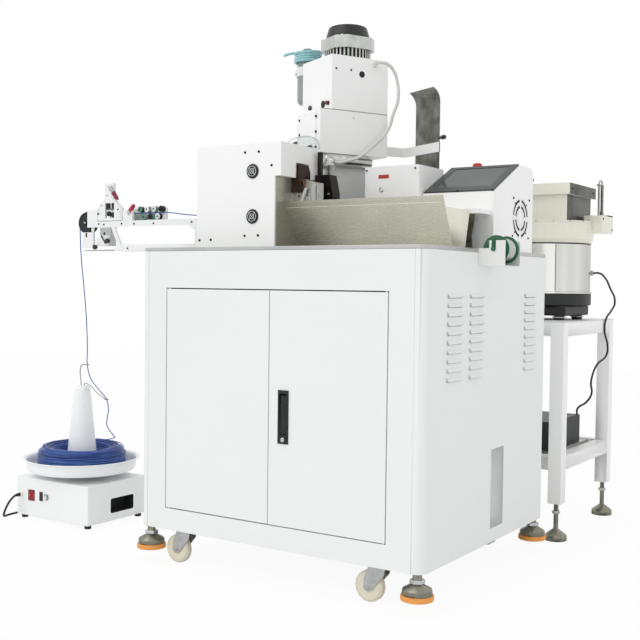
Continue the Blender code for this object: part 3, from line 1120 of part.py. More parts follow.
def feeder():
    white = material("stand white powder coat", (0.90, 0.91, 0.92), 0.4)
    t = STAND_TUBE
    x0, x1 = STAND_X
    y0, y1 = STAND_Y
    black = material("stand foot black rubber", (0.02, 0.02, 0.02), 0.5)
    stand = place("feeder_stand", box_mesh((x0, x0 + t), (y0, y0 + t), (STAND_FOOT, STAND_TOP)), white, extra=[black])
    for x in (x0, x1 - t):
        for y in (y0, y1 - t):
            if (x, y) != (x0, y0):
                fuse(stand, box_mesh((x, x + t), (y, y + t), (STAND_FOOT, STAND_TOP)))
    inside_x = (x0 + t / 2, x1 - t / 2)
    inside_y = (y0 + t / 2, y1 - t / 2)
    trim = 0.0004
    for y in (y0, y1 - t):
        for low, high in ((STAND_TOP - t, STAND_TOP - trim), STAND_LOW):
            fuse(stand, box_mesh(inside_x, (y + trim, y + t - trim), (low, high)))
    for x in (x0, x1 - t):
        for low, high in ((STAND_TOP - t + trim, STAND_TOP - 2 * trim), (STAND_LOW[0] + trim, STAND_LOW[1] - trim)):
            fuse(stand, box_mesh((x + trim, x + t - trim), inside_y, (low, high)))
    slats = bmesh.new()
    for number in range(4):
        start = x0 + t + 0.030 + number * 0.070
        grow_box(slats, (start, start + 0.040), (y0 + t / 2, y1 - t / 2),
                 (STAND_LOW[1] - 0.012, STAND_LOW[1] - 2 * RUN))
    fuse(stand, slats)
    foot = [(0.0, 0.0), (0.035, 0.0), (0.035, 0.014), (0.029, 0.020), (0.010, 0.034), (0.0075, 0.036),
            (0.0075, STAND_FOOT + SINK), (0.0, STAND_FOOT + SINK)]
    for x in (x0 + t / 2, x1 - t / 2):
        for y in (y0 + t / 2, y1 - t / 2):
            fuse(stand, turned_mesh(foot, (x, y, 0.0), "Z", 12), slot=1)
    fuse(stand, box_mesh((x0 + SINK, x1 - SINK), (y0 + SINK, y1 - SINK), (STAND_TOP - SINK, STAND_TOP + STAND_PLATE)))

    deck = STAND_TOP + STAND_PLATE + SEAT
    cx, cy = BOWL_AT
    steel = material("feeder drive dark stainless", (0.20, 0.20, 0.19), 0.3, 0.9)
    rubber = material("feeder base black", (0.02, 0.02, 0.02), 0.5)
    column = [(0.0, deck + DRIVE_BASE - 0.006), (DRIVE_R + 0.004, deck + DRIVE_BASE - 0.006),
              (DRIVE_R + 0.004, deck + DRIVE_BASE), (DRIVE_R, deck + DRIVE_BASE), (DRIVE_R, deck + DRIVE_H),
              (0.0, deck + DRIVE_H)]
    drive = place("feeder_drive", turned_mesh(column, (cx, cy, 0.0), "Z", 32), steel, extra=[rubber])
    fuse(drive, turned_mesh(rod_profile(DRIVE_R + 0.003, deck + 0.048, deck + DRIVE_BASE - 0.006 + SINK), (cx, cy, 0.0),
                            "Z", 32),
         box_mesh((cx - 0.110, cx + 0.118), (cy - 0.118, cy + 0.110), (deck + 0.014, deck + 0.048 + SINK)), slot=1)
    shoes = bmesh.new()
    for x in (cx - 0.085, cx + 0.085):
        for y in (cy - 0.085, cy + 0.085):
            grow_turned(shoes, rod_profile(0.018, deck, deck + 0.014 + SINK), (x, y, 0.0), "Z", SMALL_SIDES)
    exit_x, exit_y, exit_z = feeder_exit()
    grow_turned(shoes, [(0.0, -0.024), (0.008, -0.024), (0.008, -0.004), (0.006, 0.0), (0.0, 0.0)],
                (exit_x, exit_y, exit_z), "X", SMALL_SIDES)
    fuse(drive, shoes, slot=1)

    cream = material("bowl cream enamel", (0.80, 0.78, 0.68), 0.4)
    plate = material("hopper dark stainless", (0.20, 0.20, 0.19), 0.3, 0.9)
    low = deck + DRIVE_H + SEAT
    wall = 0.006
    rim = low + BOWL_H
    bowl = [(0.0, low + 0.004), (0.060, low + 0.004), (0.060, low), (BOWL_R - 0.010, low), (BOWL_R, low + 0.016),
            (BOWL_R, rim), (BOWL_R - wall, rim), (BOWL_R - wall, low + 0.018), (0.0, low + 0.026)]
    made = place("feeder_bowl", turned_mesh(bowl, (cx, cy, 0.0), "Z", 32), cream, extra=[plate])
    for half, lip, start, stop in ((TIER[0], TIER[0] - wall, rim - SINK, rim + TIER_H[0]),
                                   (TIER[1], TIER[0] - wall + RUN, rim + TIER_H[0] - SINK, rim + TIER_H[1])):
        tier = box_mesh((cx - half, cx + half), (cy - half, cy + half), (start, stop))
        fuse(made, tier)
        inner = half - wall
        cut(made, box_mesh((cx - lip, cx + lip), (cy - lip, cy + lip), (rim - 2 * wall, stop + wall)),
            box_mesh((cx - inner, cx + inner), (cy - inner, cy + inner), (start + wall, stop + wall)))
    edge = cx + BOWL_R
    box_low = low + 0.040
    fuse(made, box_mesh((edge - 0.030, edge + 0.032), (cy + 0.010, cy + 0.130), (box_low, box_low + 0.056), 0.003))
    rods = bmesh.new()
    for along, tall in ((0.030, 0.130), (0.062, 0.124)):
        grow_turned(rods, rod_profile(0.0026, box_low + 0.050, rim + tall), (edge + 0.014, cy + along, 0.0), "Z",
                    SMALL_SIDES)
    fuse(made, rods, slot=1)

    place("feeder_controller", box_mesh(CONTROL_X, CONTROL_Y, (STAND_LOW[1] - 2 * RUN + SEAT, CONTROL_TOP), 0.003),
          material("controller black plastic", (0.03, 0.03, 0.03), 0.5))


def feeder_exit():
    along = 0.55 * DRIVE_R
    return (BOWL_AT[0] + math.sqrt(DRIVE_R ** 2 - along ** 2) + 0.016, BOWL_AT[1] + along, 0.838)


# Cords and the feed wire

def cords():
    black = material("cord black rubber", (0.02, 0.02, 0.02), 0.5)
    blue = material("feed wire blue insulation", (0.05, 0.12, 0.42), 0.4)
    grey = material("conduit grey plastic", (0.72, 0.72, 0.70), 0.45)
    entry = Vector(wire_entry())
    cord("feed_wire", [entry + Vector((0.007, 0.0, 0.0)), entry, *WIRE_ROUTE], WIRE_R, blue, 0.0225, 2)
    start = Vector(feeder_exit())
    cord("feeder_cord", [start + Vector((SEAT, 0.0, 0.0)), start + Vector((0.017, 0.0, 0.0)), *FEEDER_ROUTE], CORD_R,
         black, 0.016, 2)
    start = Vector(gland())
    cord("payoff_cord", [start - Vector((0.0, SEAT, 0.0)), start - Vector((0.0, 0.016, 0.0)), *PAYOFF_ROUTE],
         PAY_CORD_R, black, 0.015, 2)
    turn = Matrix.Rotation(PRESS_TURN, 3, "Z")
    route = [turn @ Vector(point) + Vector((*PRESS_AT, 0.0)) for point in CONDUIT_ROUTE]
    cord("conduit", route, CONDUIT_R, grey, 0.014, 2)

    x, y = PAY_COIL_AT
    ring = PAY_COIL_R
    hank = [(ring - 0.017, SEAT), (ring - 0.005, SEAT), (ring, 0.006), (ring, 0.024), (ring - 0.005, 0.0295),
            (ring - 0.017, 0.0295), (ring - 0.022, 0.024), (ring - 0.022, 0.006)]
    place("payoff_cord_coil", turned_mesh(hank, (x, y, 0.0), closed=True), black)
    body = (0.016, 0.024)
    aside = ring - 0.0075
    behind = math.sqrt(ring ** 2 - (aside - body[0] + PLUG_EDGE) ** 2) + SEAT
    plug = place("payoff_plug", box_mesh((-body[0], body[0]), (-body[1], body[1]), (SEAT, 0.026), PLUG_EDGE),
                 material("plug black plastic", (0.03, 0.03, 0.03), 0.5), (x + aside, y + behind + body[1], 0.0),
                 extra=[material("plug pin bright metal", (0.7, 0.68, 0.6), 0.3, 1.0)])
    pins = bmesh.new()
    for across in (-0.0095, 0.0, 0.0095):
        grow_turned(pins, rod_profile(0.0024, body[1] - 0.004, body[1] + 0.018), (across, 0.0, 0.013), "Y", SMALL_SIDES)
    fuse(plug, pins, slot=1)


WIRE_ROUTE = [(0.060, 0.216, 0.9875), (-0.020, 0.216, 0.993), (-0.090, 0.216, 1.001), (-0.140, 0.216, 1.002),
              (-0.240, 0.216, 1.002), (-0.330, 0.216, 1.003), (-0.390, 0.216, 1.009), (-0.424, 0.216, 1.0130),
              (-0.450, 0.216, 1.0085), (-0.464, 0.216, 0.994), (-0.4685, 0.216, 0.975), (-0.4680, 0.216, 0.930),
              (-0.4660, 0.218, 0.870), (-0.4620, 0.224, 0.790), (-0.4680, 0.240, 0.710), (-0.4860, 0.264, 0.630),
              (-0.5020, 0.282, 0.565), (-0.5100, 0.290, 0.512), (-0.4960, 0.290, 0.470), (-0.4540, 0.290, 0.430),
              (-0.4210, 0.290, 0.402), (-0.4120, 0.290, 0.371), (-0.4230, 0.296, 0.340), (-0.4500, 0.322, 0.310),
              (-0.4640, 0.355, 0.282), (-0.4700, 0.378, 0.2640), (-0.4780, 0.387, 0.2600)]
FEEDER_ROUTE = [(0.9140, 1.275, 0.8260), (0.9180, 1.330, 0.7874), (0.9220, 1.3715, 0.7408), (0.9200, 1.340, 0.7108),
                (0.9160, 1.2977, 0.6834), (0.9145, 1.2885, 0.6493), (0.9145, 1.3266, 0.5859), (0.9145, 1.3214, 0.5656),
                (0.9050, 1.2303, 0.5226), (0.8950, 1.2209, 0.4800), (0.8800, 1.2667, 0.4238), (0.8600, 1.2752, 0.3974),
                (0.8260, 1.2880, 0.3710), (0.8245, 1.2880, CONTROL_TOP + SEAT)]
PAYOFF_ROUTE = [(-0.681, 0.119, 0.069), (-0.696, 0.112, 0.044), (-0.710, 0.112, 0.018), (-0.722, 0.122, 0.0062),
                (-0.732, 0.150, 0.0040), (-0.736, 0.210, 0.0040), (-0.734, 0.300, 0.0040), (-0.722, 0.400, 0.0040),
                (-0.690, 0.440, 0.0040), (-0.640, 0.4500, 0.0040), (-0.585, 0.4510, 0.0040),
                (PAY_COIL_AT[0] - 0.0345, 0.4510, 0.0040)]
CONDUIT_ROUTE = [(CONDUIT_OUT + SEAT, *CONDUIT_TOP), (0.0255, *CONDUIT_TOP), (0.0325, 0.1925, 1.4455),
                 (0.0335, 0.209, 1.4425), (0.0300, 0.230, 1.4310), (0.0260, 0.248, 1.403), (0.0260, 0.253, 1.344),
                 (0.0260, 0.236, 1.298), (0.0260, 0.219, 1.252), (0.0280, 0.158, 1.193), (0.0315, 0.116, 1.163),
                 (0.0315, 0.074, 1.1480), (0.0315, 0.046, 1.1412), (0.0315, CONDUIT_END + SEAT, 1.141)]


def centre_origin():
    # Puts the origin on the floor, in the middle of the footprint of everything but the free cords.
    loose = ("feed_wire", "feeder_cord", "payoff_cord", "payoff_cord_coil", "payoff_plug", "conduit")
    bpy.context.view_layer.update()
    low = Vector((1e9, 1e9))
    high = Vector((-1e9, -1e9))
    for made in bpy.context.scene.objects:
        if made.name in loose or made.type != "MESH":
            continue
        for vertex in made.data.vertices:
            spot = made.matrix_world @ vertex.co
            low = Vector((min(low.x, spot.x), min(low.y, spot.y)))
            high = Vector((max(high.x, spot.x), max(high.y, spot.y)))
    shift = (low + high) / 2
    for made in bpy.context.scene.objects:
        made.location.x -= shift.x
        made.location.y -= shift.y
    bpy.context.view_layer.update()


def round_off():
    # Smooth shading over the round faces, with the corners kept sharp.
    for made in bpy.context.scene.objects:
        if made.type == "MESH":
            made.data.shade_smooth()
            made.data.set_sharp_from_angle(angle=math.radians(40))


for old in list(bpy.data.objects):
    bpy.data.objects.remove(old)
cabinet()
doors()
casters()
feed_enclosure()
trough()
cutting_unit()
swing_gripper()
press()
tin_pot()
control_housing()
spool()
feed_arm()
payoff()
feeder()
cords()
round_off()
centre_origin()
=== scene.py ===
# Cable crimping and tinning machine with its wire pay-off unit and bowl feeder, dressed over the
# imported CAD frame. Metres, X right, Y back, Z up, as the frame has them.
import json
import math

import bpy
from mathutils import Matrix, Vector


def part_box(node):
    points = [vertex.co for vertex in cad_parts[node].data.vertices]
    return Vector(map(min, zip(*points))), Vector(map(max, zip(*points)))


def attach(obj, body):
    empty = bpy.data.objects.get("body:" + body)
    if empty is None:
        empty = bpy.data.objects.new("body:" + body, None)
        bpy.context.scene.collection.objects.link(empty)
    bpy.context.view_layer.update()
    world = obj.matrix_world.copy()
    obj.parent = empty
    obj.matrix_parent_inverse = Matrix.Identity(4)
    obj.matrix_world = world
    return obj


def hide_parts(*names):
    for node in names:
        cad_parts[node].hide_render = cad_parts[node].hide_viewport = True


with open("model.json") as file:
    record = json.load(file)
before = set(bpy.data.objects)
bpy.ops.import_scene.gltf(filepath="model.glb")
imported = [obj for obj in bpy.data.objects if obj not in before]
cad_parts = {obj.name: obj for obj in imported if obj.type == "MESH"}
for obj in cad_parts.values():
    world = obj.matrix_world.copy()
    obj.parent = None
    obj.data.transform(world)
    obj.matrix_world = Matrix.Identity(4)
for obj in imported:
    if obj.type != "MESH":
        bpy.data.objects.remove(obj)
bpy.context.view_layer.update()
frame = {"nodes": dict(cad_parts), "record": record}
bpy.ops.object.select_all(action="DESELECT")

# Camera
# The photograph was taken from the machine's front right, at about the height of the cabinet's
# upper third, with a lens of 58 mm on a 36 mm wide frame. Places are worked out from the
# worktop's front left corner, which is where the camera was measured from.

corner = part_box("worktop_plate")[0]


def at(x, y, z):
    return Vector((corner.x + x, corner.y + y, z))


def aimed(turn, down, roll):
    ahead = Vector((-math.sin(turn) * math.cos(down), math.cos(turn) * math.cos(down), -math.sin(down)))
    flat = Vector((math.cos(turn), math.sin(turn), 0.0))
    upright = flat.cross(ahead)
    right = math.cos(roll) * flat + math.sin(roll) * upright
    up = math.cos(roll) * upright - math.sin(roll) * flat
    return Matrix((right, up, -ahead)).transposed().to_4x4()


lens = bpy.data.cameras.new("photograph camera")
lens.sensor_width = 36.0
lens.lens = 57.84
lens.clip_start = 0.05
camera = bpy.data.objects.new("photograph camera", lens)
bpy.context.scene.collection.objects.link(camera)
camera.matrix_world = (Matrix.Translation(at(2.0097, -2.154, 0.7851))
                       @ aimed(math.radians(33.13), math.radians(1.92), math.radians(0.70)))
bpy.context.scene.camera = camera

# Feed wire
# One strand of blue PVC-insulated wire, 3.2 mm thick. It leaves the coil on the turntable, rises
# through the two wire eyes, bends over the encoder wheel and runs straight through the rollers
# into the feed enclosure.

FEED_WIRE = [(0.125, 0.216, 0.986), (0.118, 0.216, 0.986),
             (0.060, 0.216, 0.9875), (-0.020, 0.216, 0.993), (-0.090, 0.216, 1.001), (-0.140, 0.216, 1.002),
             (-0.240, 0.216, 1.002), (-0.330, 0.216, 1.003), (-0.390, 0.216, 1.009), (-0.424, 0.216, 1.0130),
             (-0.450, 0.216, 1.0085), (-0.464, 0.216, 0.994), (-0.4685, 0.216, 0.975), (-0.4680, 0.216, 0.930),
             (-0.4660, 0.218, 0.870), (-0.4620, 0.224, 0.790), (-0.4680, 0.240, 0.710), (-0.4860, 0.264, 0.630),
             (-0.5020, 0.282, 0.565), (-0.5100, 0.290, 0.512), (-0.4960, 0.290, 0.470), (-0.4540, 0.290, 0.430),
             (-0.4210, 0.290, 0.402), (-0.4120, 0.290, 0.371), (-0.4230, 0.296, 0.340), (-0.4500, 0.322, 0.310),
             (-0.4640, 0.355, 0.282), (-0.4700, 0.378, 0.2640), (-0.4780, 0.387, 0.2600)]


def node(tree, kind, sockets=(), **settings):
    # Adds one node, with its settings, its socket values and its links.
    made = tree.nodes.new(kind)
    for name, value in settings.items():
        setattr(made, name, value)
    for socket, value in dict(sockets).items():
        if isinstance(value, bpy.types.NodeSocket):
            tree.links.new(value, made.inputs[socket])
        else:
            made.inputs[socket].default_value = value
    return made


def linear(code):
    parts = [int(code[i:i + 2], 16) / 255 for i in (1, 3, 5)]
    return (*[p / 12.92 if p <= 0.04045 else ((p + 0.055) / 1.055) ** 2.4 for p in parts], 1.0)


def finish(name, colour, roughness, metallic=0.0, shade=0.03, patch=0.15, grain=0.0010, relief=0.00002,
           stretch=(1.0, 1.0, 1.0), uneven=0.15):
    # A surface with faint clouds of light and dark, an uneven gloss and a fine grain in relief. patch and
    # grain are their sizes in metres, and stretch draws the grain out as brushing does.
    made = bpy.data.materials.new(name)
    made.use_nodes = True
    tree = made.node_tree
    shader = tree.nodes["Principled BSDF"]
    shader.inputs["Metallic"].default_value = metallic
    place = node(tree, "ShaderNodeTexCoord").outputs["Object"]
    cloud = node(tree, "ShaderNodeTexNoise", {"Vector": place, "Scale": 1 / patch, "Detail": 3.0})
    tone = node(tree, "ShaderNodeMapRange", {"Value": cloud.outputs["Fac"], "From Min": 0.3, "From Max": 0.7,
                                             "To Min": 1 - shade, "To Max": 1 + shade / 2})
    hue = node(tree, "ShaderNodeHueSaturation", {"Color": linear(colour), "Value": tone.outputs["Result"]})
    hue.name = "toned"
    tree.links.new(hue.outputs["Color"], shader.inputs["Base Color"])
    drawn = node(tree, "ShaderNodeMapping", {"Vector": place, "Scale": stretch})
    fine = node(tree, "ShaderNodeTexNoise", {"Vector": drawn.outputs["Vector"], "Scale": 1 / grain, "Detail": 2.0})
    fine.name = "grain"
    gloss = node(tree, "ShaderNodeMapRange", {"Value": fine.outputs["Fac"], "From Min": 0.25, "From Max": 0.75,
                                              "To Min": roughness * (1 - uneven), "To Max": roughness * (1 + uneven)})
    tree.links.new(gloss.outputs["Result"], shader.inputs["Roughness"])
    bump = node(tree, "ShaderNodeBump", {"Height": fine.outputs["Fac"], "Distance": relief, "Strength": 1.0})
    bump.name = "relief"
    tree.links.new(bump.outputs["Normal"], shader.inputs["Normal"])
    return made


def fade(material, along, stops):
    # Lightens or darkens a material along one direction, by pairs of place in metres and brightness.
    tree = material.node_tree
    place = node(tree, "ShaderNodeTexCoord").outputs["Object"]
    reach = node(tree, "ShaderNodeVectorMath", {0: place, 1: along}, operation="DOT_PRODUCT")
    low, high = stops[0][0], stops[-1][0]
    share = node(tree, "ShaderNodeMapRange", {"Value": reach.outputs["Value"], "From Min": low, "From Max": high})
    band(material, share.outputs["Result"], [((spot - low) / (high - low), tone) for spot, tone in stops])


def band(material, share, stops):
    # Multiplies a material's brightness by a ramp of tones.
    tree = material.node_tree
    ramp = node(tree, "ShaderNodeValToRGB", {"Fac": share})
    while len(ramp.color_ramp.elements) < len(stops):
        ramp.color_ramp.elements.new(0.5)
    for element, (spot, tone) in zip(ramp.color_ramp.elements, stops):
        element.position = spot
        element.color = (tone / 2, tone / 2, tone / 2, 1.0)
    hue = tree.nodes["toned"]
    before = hue.inputs["Value"].links[0].from_socket
    doubled = node(tree, "ShaderNodeMath", {0: before, 1: 2.0}, operation="MULTIPLY")
    toned = node(tree, "ShaderNodeMath", {0: doubled.outputs["Value"], 1: ramp.outputs["Color"]}, operation="MULTIPLY")
    tree.links.new(toned.outputs["Value"], hue.inputs["Value"])


def strand(name, points, radius, material, body, sides=3, handle="AUTO"):
    # One smooth open curve through the route's points, filled to the cord's thickness.
    data = bpy.data.curves.new(name, "CURVE")
    data.dimensions = "3D"
    data.bevel_depth = radius
    data.bevel_resolution = sides
    data.resolution_u = 8
    data.use_fill_caps = True
    line = data.splines.new("BEZIER")
    line.bezier_points.add(len(points) - 1)
    for spot, point in zip(line.bezier_points, points):
        spot.co = point
        spot.handle_left_type = spot.handle_right_type = handle
    data.materials.append(material)
    made = bpy.data.objects.new(name, data)
    bpy.context.scene.collection.objects.link(made)
    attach(made, body)
    return made


# PVC wire insulation, extruded: smooth, half glossy and deep blue.
blue_insulation = finish("blue PVC insulation", "#3D5FA8", 0.32, shade=0.10, patch=0.02, grain=0.002, relief=0.00001)
feed_wire = strand("feed_wire_strand", [at(*p) for p in FEED_WIRE], 0.0016, blue_insulation, "machine")
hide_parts("feed_wire")

# Feeder cord
# The bowl feeder's black rubber cord, 7 mm thick. It comes out of the drive's gland, hangs in a
# loose wave beside the stand's right legs and ends in the controller on the lower shelf.

FEEDER_GLAND = (0.8883, 1.2425, 0.838)
FEEDER_CORD = [(0.8886, 1.2425, 0.838), (0.9053, 1.2425, 0.838), (0.9140, 1.275, 0.8260), (0.9180, 1.330, 0.7874),
               (0.9220, 1.3715, 0.7408), (0.9200, 1.340, 0.7108), (0.9160, 1.2977, 0.6834), (0.9145, 1.2885, 0.6493),
               (0.9145, 1.3266, 0.5859), (0.9145, 1.3214, 0.5656), (0.9050, 1.2303, 0.5226), (0.8950, 1.2209, 0.4800),
               (0.8800, 1.2667, 0.4238), (0.8600, 1.2752, 0.3974), (0.8260, 1.2880, 0.3710), (0.8245, 1.2880, 0.3533)]

# Chloroprene cord sheath: matt black with a soft sheen, slightly dusty.
black_sheath = finish("black rubber cord sheath", "#1B1C1D", 0.48, shade=0.12, patch=0.05, grain=0.0015,
                      relief=0.00003)
feeder_cord = strand("feeder_cord_sheath", [at(*p) for p in FEEDER_CORD], 0.0034, black_sheath, "machine")
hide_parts("feeder_cord")

# Mains cord of the pay-off unit
# A black mains lead, 7.2 mm thick and 2.5 m long. It drops from its gland to the floor, passes
# round the box's left side, and the length that isn't seen is wound into a flat coil behind the
# box, with the plug beside it.

COIL_MIDDLE = (-0.530, 0.492)
PAYOFF_CORD = [(-0.677, 0.1487, 0.079), (-0.677, 0.133, 0.079), (-0.681, 0.119, 0.069), (-0.696, 0.112, 0.044),
               (-0.710, 0.112, 0.018), (-0.722, 0.122, 0.0062), (-0.732, 0.150, 0.0040), (-0.7354, 0.210, 0.0040),
               (-0.734, 0.300, 0.0040), (-0.722, 0.400, 0.0040), (-0.690, 0.440, 0.0040), (-0.640, 0.4500, 0.0040),
               (-0.585, 0.4510, 0.0040)]
COIL_TURNS = 6
TURN_POINTS = 14


def coil_points(middle, radii, layers, turns, thickness, start_angle):
    # Turns laid beside and on each other: out through the radii, then up a layer and back in.
    points = []
    for turn in range(turns):
        layer = turn // len(radii)
        order = radii if layer % 2 == 0 else radii[::-1]
        here = order[turn % len(radii)]
        later = turn + 1
        following = (radii if (later // len(radii)) % 2 == 0 else radii[::-1])[later % len(radii)]
        rise = later // len(radii)
        for step in range(TURN_POINTS):
            share = step / TURN_POINTS
            ease = max(0.0, (share - 0.6) / 0.4)
            ease = ease * ease * (3 - 2 * ease)
            radius = here + (following - here) * ease
            height = layers + thickness * (layer + (rise - layer) * ease)
            angle = start_angle + math.tau * share
            points.append((middle[0] + radius * math.cos(angle), middle[1] + radius * math.sin(angle), height))
    return points


mains = PAYOFF_CORD + coil_points(COIL_MIDDLE, (0.0405, 0.0335), 0.0040, COIL_TURNS, 0.0074, math.radians(-90))
mains += [(COIL_MIDDLE[0], 0.4515, 0.0262), (COIL_MIDDLE[0] + 0.030, 0.4620, 0.0240),
          (COIL_MIDDLE[0] + 0.0425, 0.4920, 0.0180), (COIL_MIDDLE[0] + 0.0435, 0.5120, 0.0140),
          (COIL_MIDDLE[0] + 0.0435, 0.5320, 0.0130)]
payoff_cord = strand("payoff_cord_sheath", [at(*p) for p in mains], 0.0036, black_sheath, "machine")
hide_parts("payoff_cord", "payoff_cord_coil")

# Conduit
# A smooth grey-white plastic sleeve, 9.6 mm thick, that carries the press's wiring. It bows out
# behind the cover's right side and comes back to the port block on the cylinder.

PRESS_AT = (0.368, 0.350)
PRESS_TURN = math.radians(-26.7)
CONDUIT = [(0.0103, 0.183, 1.446), (0.0255, 0.183, 1.446), (0.0325, 0.1925, 1.4455), (0.0335, 0.209, 1.4425),
           (0.0300, 0.230, 1.4310), (0.0260, 0.248, 1.403), (0.0260, 0.253, 1.344), (0.0260, 0.236, 1.298),
           (0.0260, 0.219, 1.252), (0.0280, 0.158, 1.193), (0.0315, 0.116, 1.163), (0.0315, 0.074, 1.1480),
           (0.0315, 0.046, 1.1412), (0.0315, 0.0303, 1.141)]


def at_press(a, b, z):
    # A point given to the press's own right, back and up.
    turn = Matrix.Rotation(PRESS_TURN, 3, "Z")
    return at(PRESS_AT[0], PRESS_AT[1], 0.0) + turn @ Vector((a, b, z))


# Soft PVC sleeve: pale grey, with a satin gloss.
sleeve_grey = finish("pale grey PVC sleeve", "#D9DAD6", 0.35, shade=0.06, patch=0.03, grain=0.002, relief=0.00002)
conduit = strand("conduit_sleeve", [at_press(*p) for p in CONDUIT], 0.0048, sleeve_grey, "machine", sides=4)
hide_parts("conduit")

# Cabinet
# Folded sheet steel, powder coated white, with rounded front and rear corners. Each panel keeps its CAD
# shape and gets a small folded edge. A ground steel plate lies on top as the worktop.

HOME = Matrix.Translation((corner.x, corner.y, 0.0))
PRESS = HOME @ Matrix.Translation((*PRESS_AT, 0.0)) @ Matrix.Rotation(PRESS_TURN, 4, "Z")
PANEL_EDGE = 0.0012
LOUVRE_Y = (0.155, 0.284, 0.648)
LOUVRE_TOP = 0.770
LOUVRE_PITCH = 0.023
LOUVRE_ROWS = 10
MOUTH_DROP = 0.0113        # from a louvre's middle line to the upper edge of its mouth
PLATE_LEVEL = 0.0995       # below this the levelling feet and the caster plates begin
FOOT_X = (0.024, 0.876)
FOOT_Y = (0.024, 0.761)
carried_by = {part: body for body, parts in frame["record"]["behaviour"]["bodies"].items() for part in parts}


def shaded(piece, angle=35):
    # Smooth shading across every edge that is blunter than the angle.
    bpy.context.view_layer.objects.active = piece
    piece.select_set(True)
    bpy.ops.object.shade_smooth_by_angle(angle=math.radians(angle))
    weighed = piece.modifiers.new("weighed normals", "WEIGHTED_NORMAL")
    weighed.weight = 100
    weighed.keep_sharp = True
    bpy.ops.object.modifier_apply(modifier=weighed.name)
    piece.select_set(False)


def rework(name, materials, choose=None, edge=0.0, sides=2, angle=35):
    # A copy of a CAD node with its doubles merged, its faces given their materials and its edges rounded.
    made = bpy.data.objects.new(name + "_dressed", frame["nodes"][name].data.copy())
    bpy.context.scene.collection.objects.link(made)
    bpy.context.view_layer.objects.active = made
    made.select_set(True)
    bpy.ops.object.mode_set(mode="EDIT")
    bpy.ops.mesh.select_all(action="SELECT")
    bpy.ops.mesh.remove_doubles(threshold=0.00002)
    if edge:
        bpy.ops.mesh.dissolve_limited(angle_limit=math.radians(0.5))
    bpy.ops.object.mode_set(mode="OBJECT")
    made.data.materials.clear()
    for material in materials:
        made.data.materials.append(material)
    for face in made.data.polygons:
        face.material_index = choose(face.center - HOME.translation, face.normal) if choose else 0
    if edge:
        rounding = made.modifiers.new("rounded edges", "BEVEL")
        rounding.width = edge
        rounding.segments = sides
        rounding.limit_method = "ANGLE"
        rounding.angle_limit = math.radians(angle)
        bpy.ops.object.modifier_apply(modifier=rounding.name)
    shaded(made, angle)
    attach(made, carried_by[name])
    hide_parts(name)
    return made


def block(material, low, high, edge=0.0, sides=2):
    # A cube drawn out between two corners, with its edges bevelled.
    middle = [(a + b) / 2 for a, b in zip(low, high)]
    bpy.ops.mesh.primitive_cube_add(size=1.0, location=middle)
    piece = bpy.context.object
    bpy.ops.object.mode_set(mode="EDIT")
    bpy.ops.transform.resize(value=[b - a for a, b in zip(low, high)], center_override=middle)
    if edge:
        bpy.ops.mesh.bevel(offset=edge, segments=sides, affect="EDGES")
    bpy.ops.object.mode_set(mode="OBJECT")
    piece.data.transform(Matrix.Translation(piece.location))
    piece.location = (0.0, 0.0, 0.0)
    piece.data.materials.append(material)
    piece.select_set(False)
    return piece


TOWARDS = {"X": Matrix.Rotation(math.pi / 2, 4, "Y"), "Y": Matrix.Rotation(-math.pi / 2, 4, "X"), "Z": Matrix()}


def turned(material, rings, place=(0.0, 0.0, 0.0), axis="Z", sides=32, closed=False, side=1):
    # A round form: a circle, extruded and resized ring by ring, given as pairs of radius and height. Height runs
    # along the axis, or against it where side is -1. A closed form is a ring, with a hole through it.
    radius, height = rings[0]
    bpy.ops.mesh.primitive_circle_add(vertices=sides, radius=radius, fill_type="NOTHING", location=(0, 0, height))
    piece = bpy.context.object
    bpy.ops.object.mode_set(mode="EDIT")
    bpy.ops.mesh.select_mode(type="EDGE")
    bpy.ops.mesh.select_all(action="SELECT")
    for wider, higher in rings[1:]:
        bpy.ops.mesh.extrude_region_move(TRANSFORM_OT_translate={"value": (0, 0, higher - height)})
        bpy.ops.transform.resize(value=(wider / radius, wider / radius, 1.0), center_override=(0, 0, higher))
        radius, height = wider, higher
    if closed:
        bpy.ops.mesh.select_all(action="DESELECT")
        bpy.ops.mesh.select_non_manifold(extend=False)
        bpy.ops.mesh.bridge_edge_loops()
    else:
        bpy.ops.mesh.edge_face_add()
        bpy.ops.mesh.select_all(action="DESELECT")
        bpy.ops.mesh.select_non_manifold(extend=False)
        bpy.ops.mesh.edge_face_add()
    bpy.ops.mesh.select_all(action="SELECT")
    bpy.ops.mesh.normals_make_consistent(inside=False)
    bpy.ops.object.mode_set(mode="OBJECT")
    way = TOWARDS[axis] if side > 0 else TOWARDS[axis] @ Matrix.Rotation(math.pi, 4, "X")
    piece.data.transform(Matrix.Translation(place) @ way @ Matrix.Translation(piece.location))
    piece.location = (0.0, 0.0, 0.0)
    piece.data.materials.append(material)
    piece.select_set(False)
    return piece


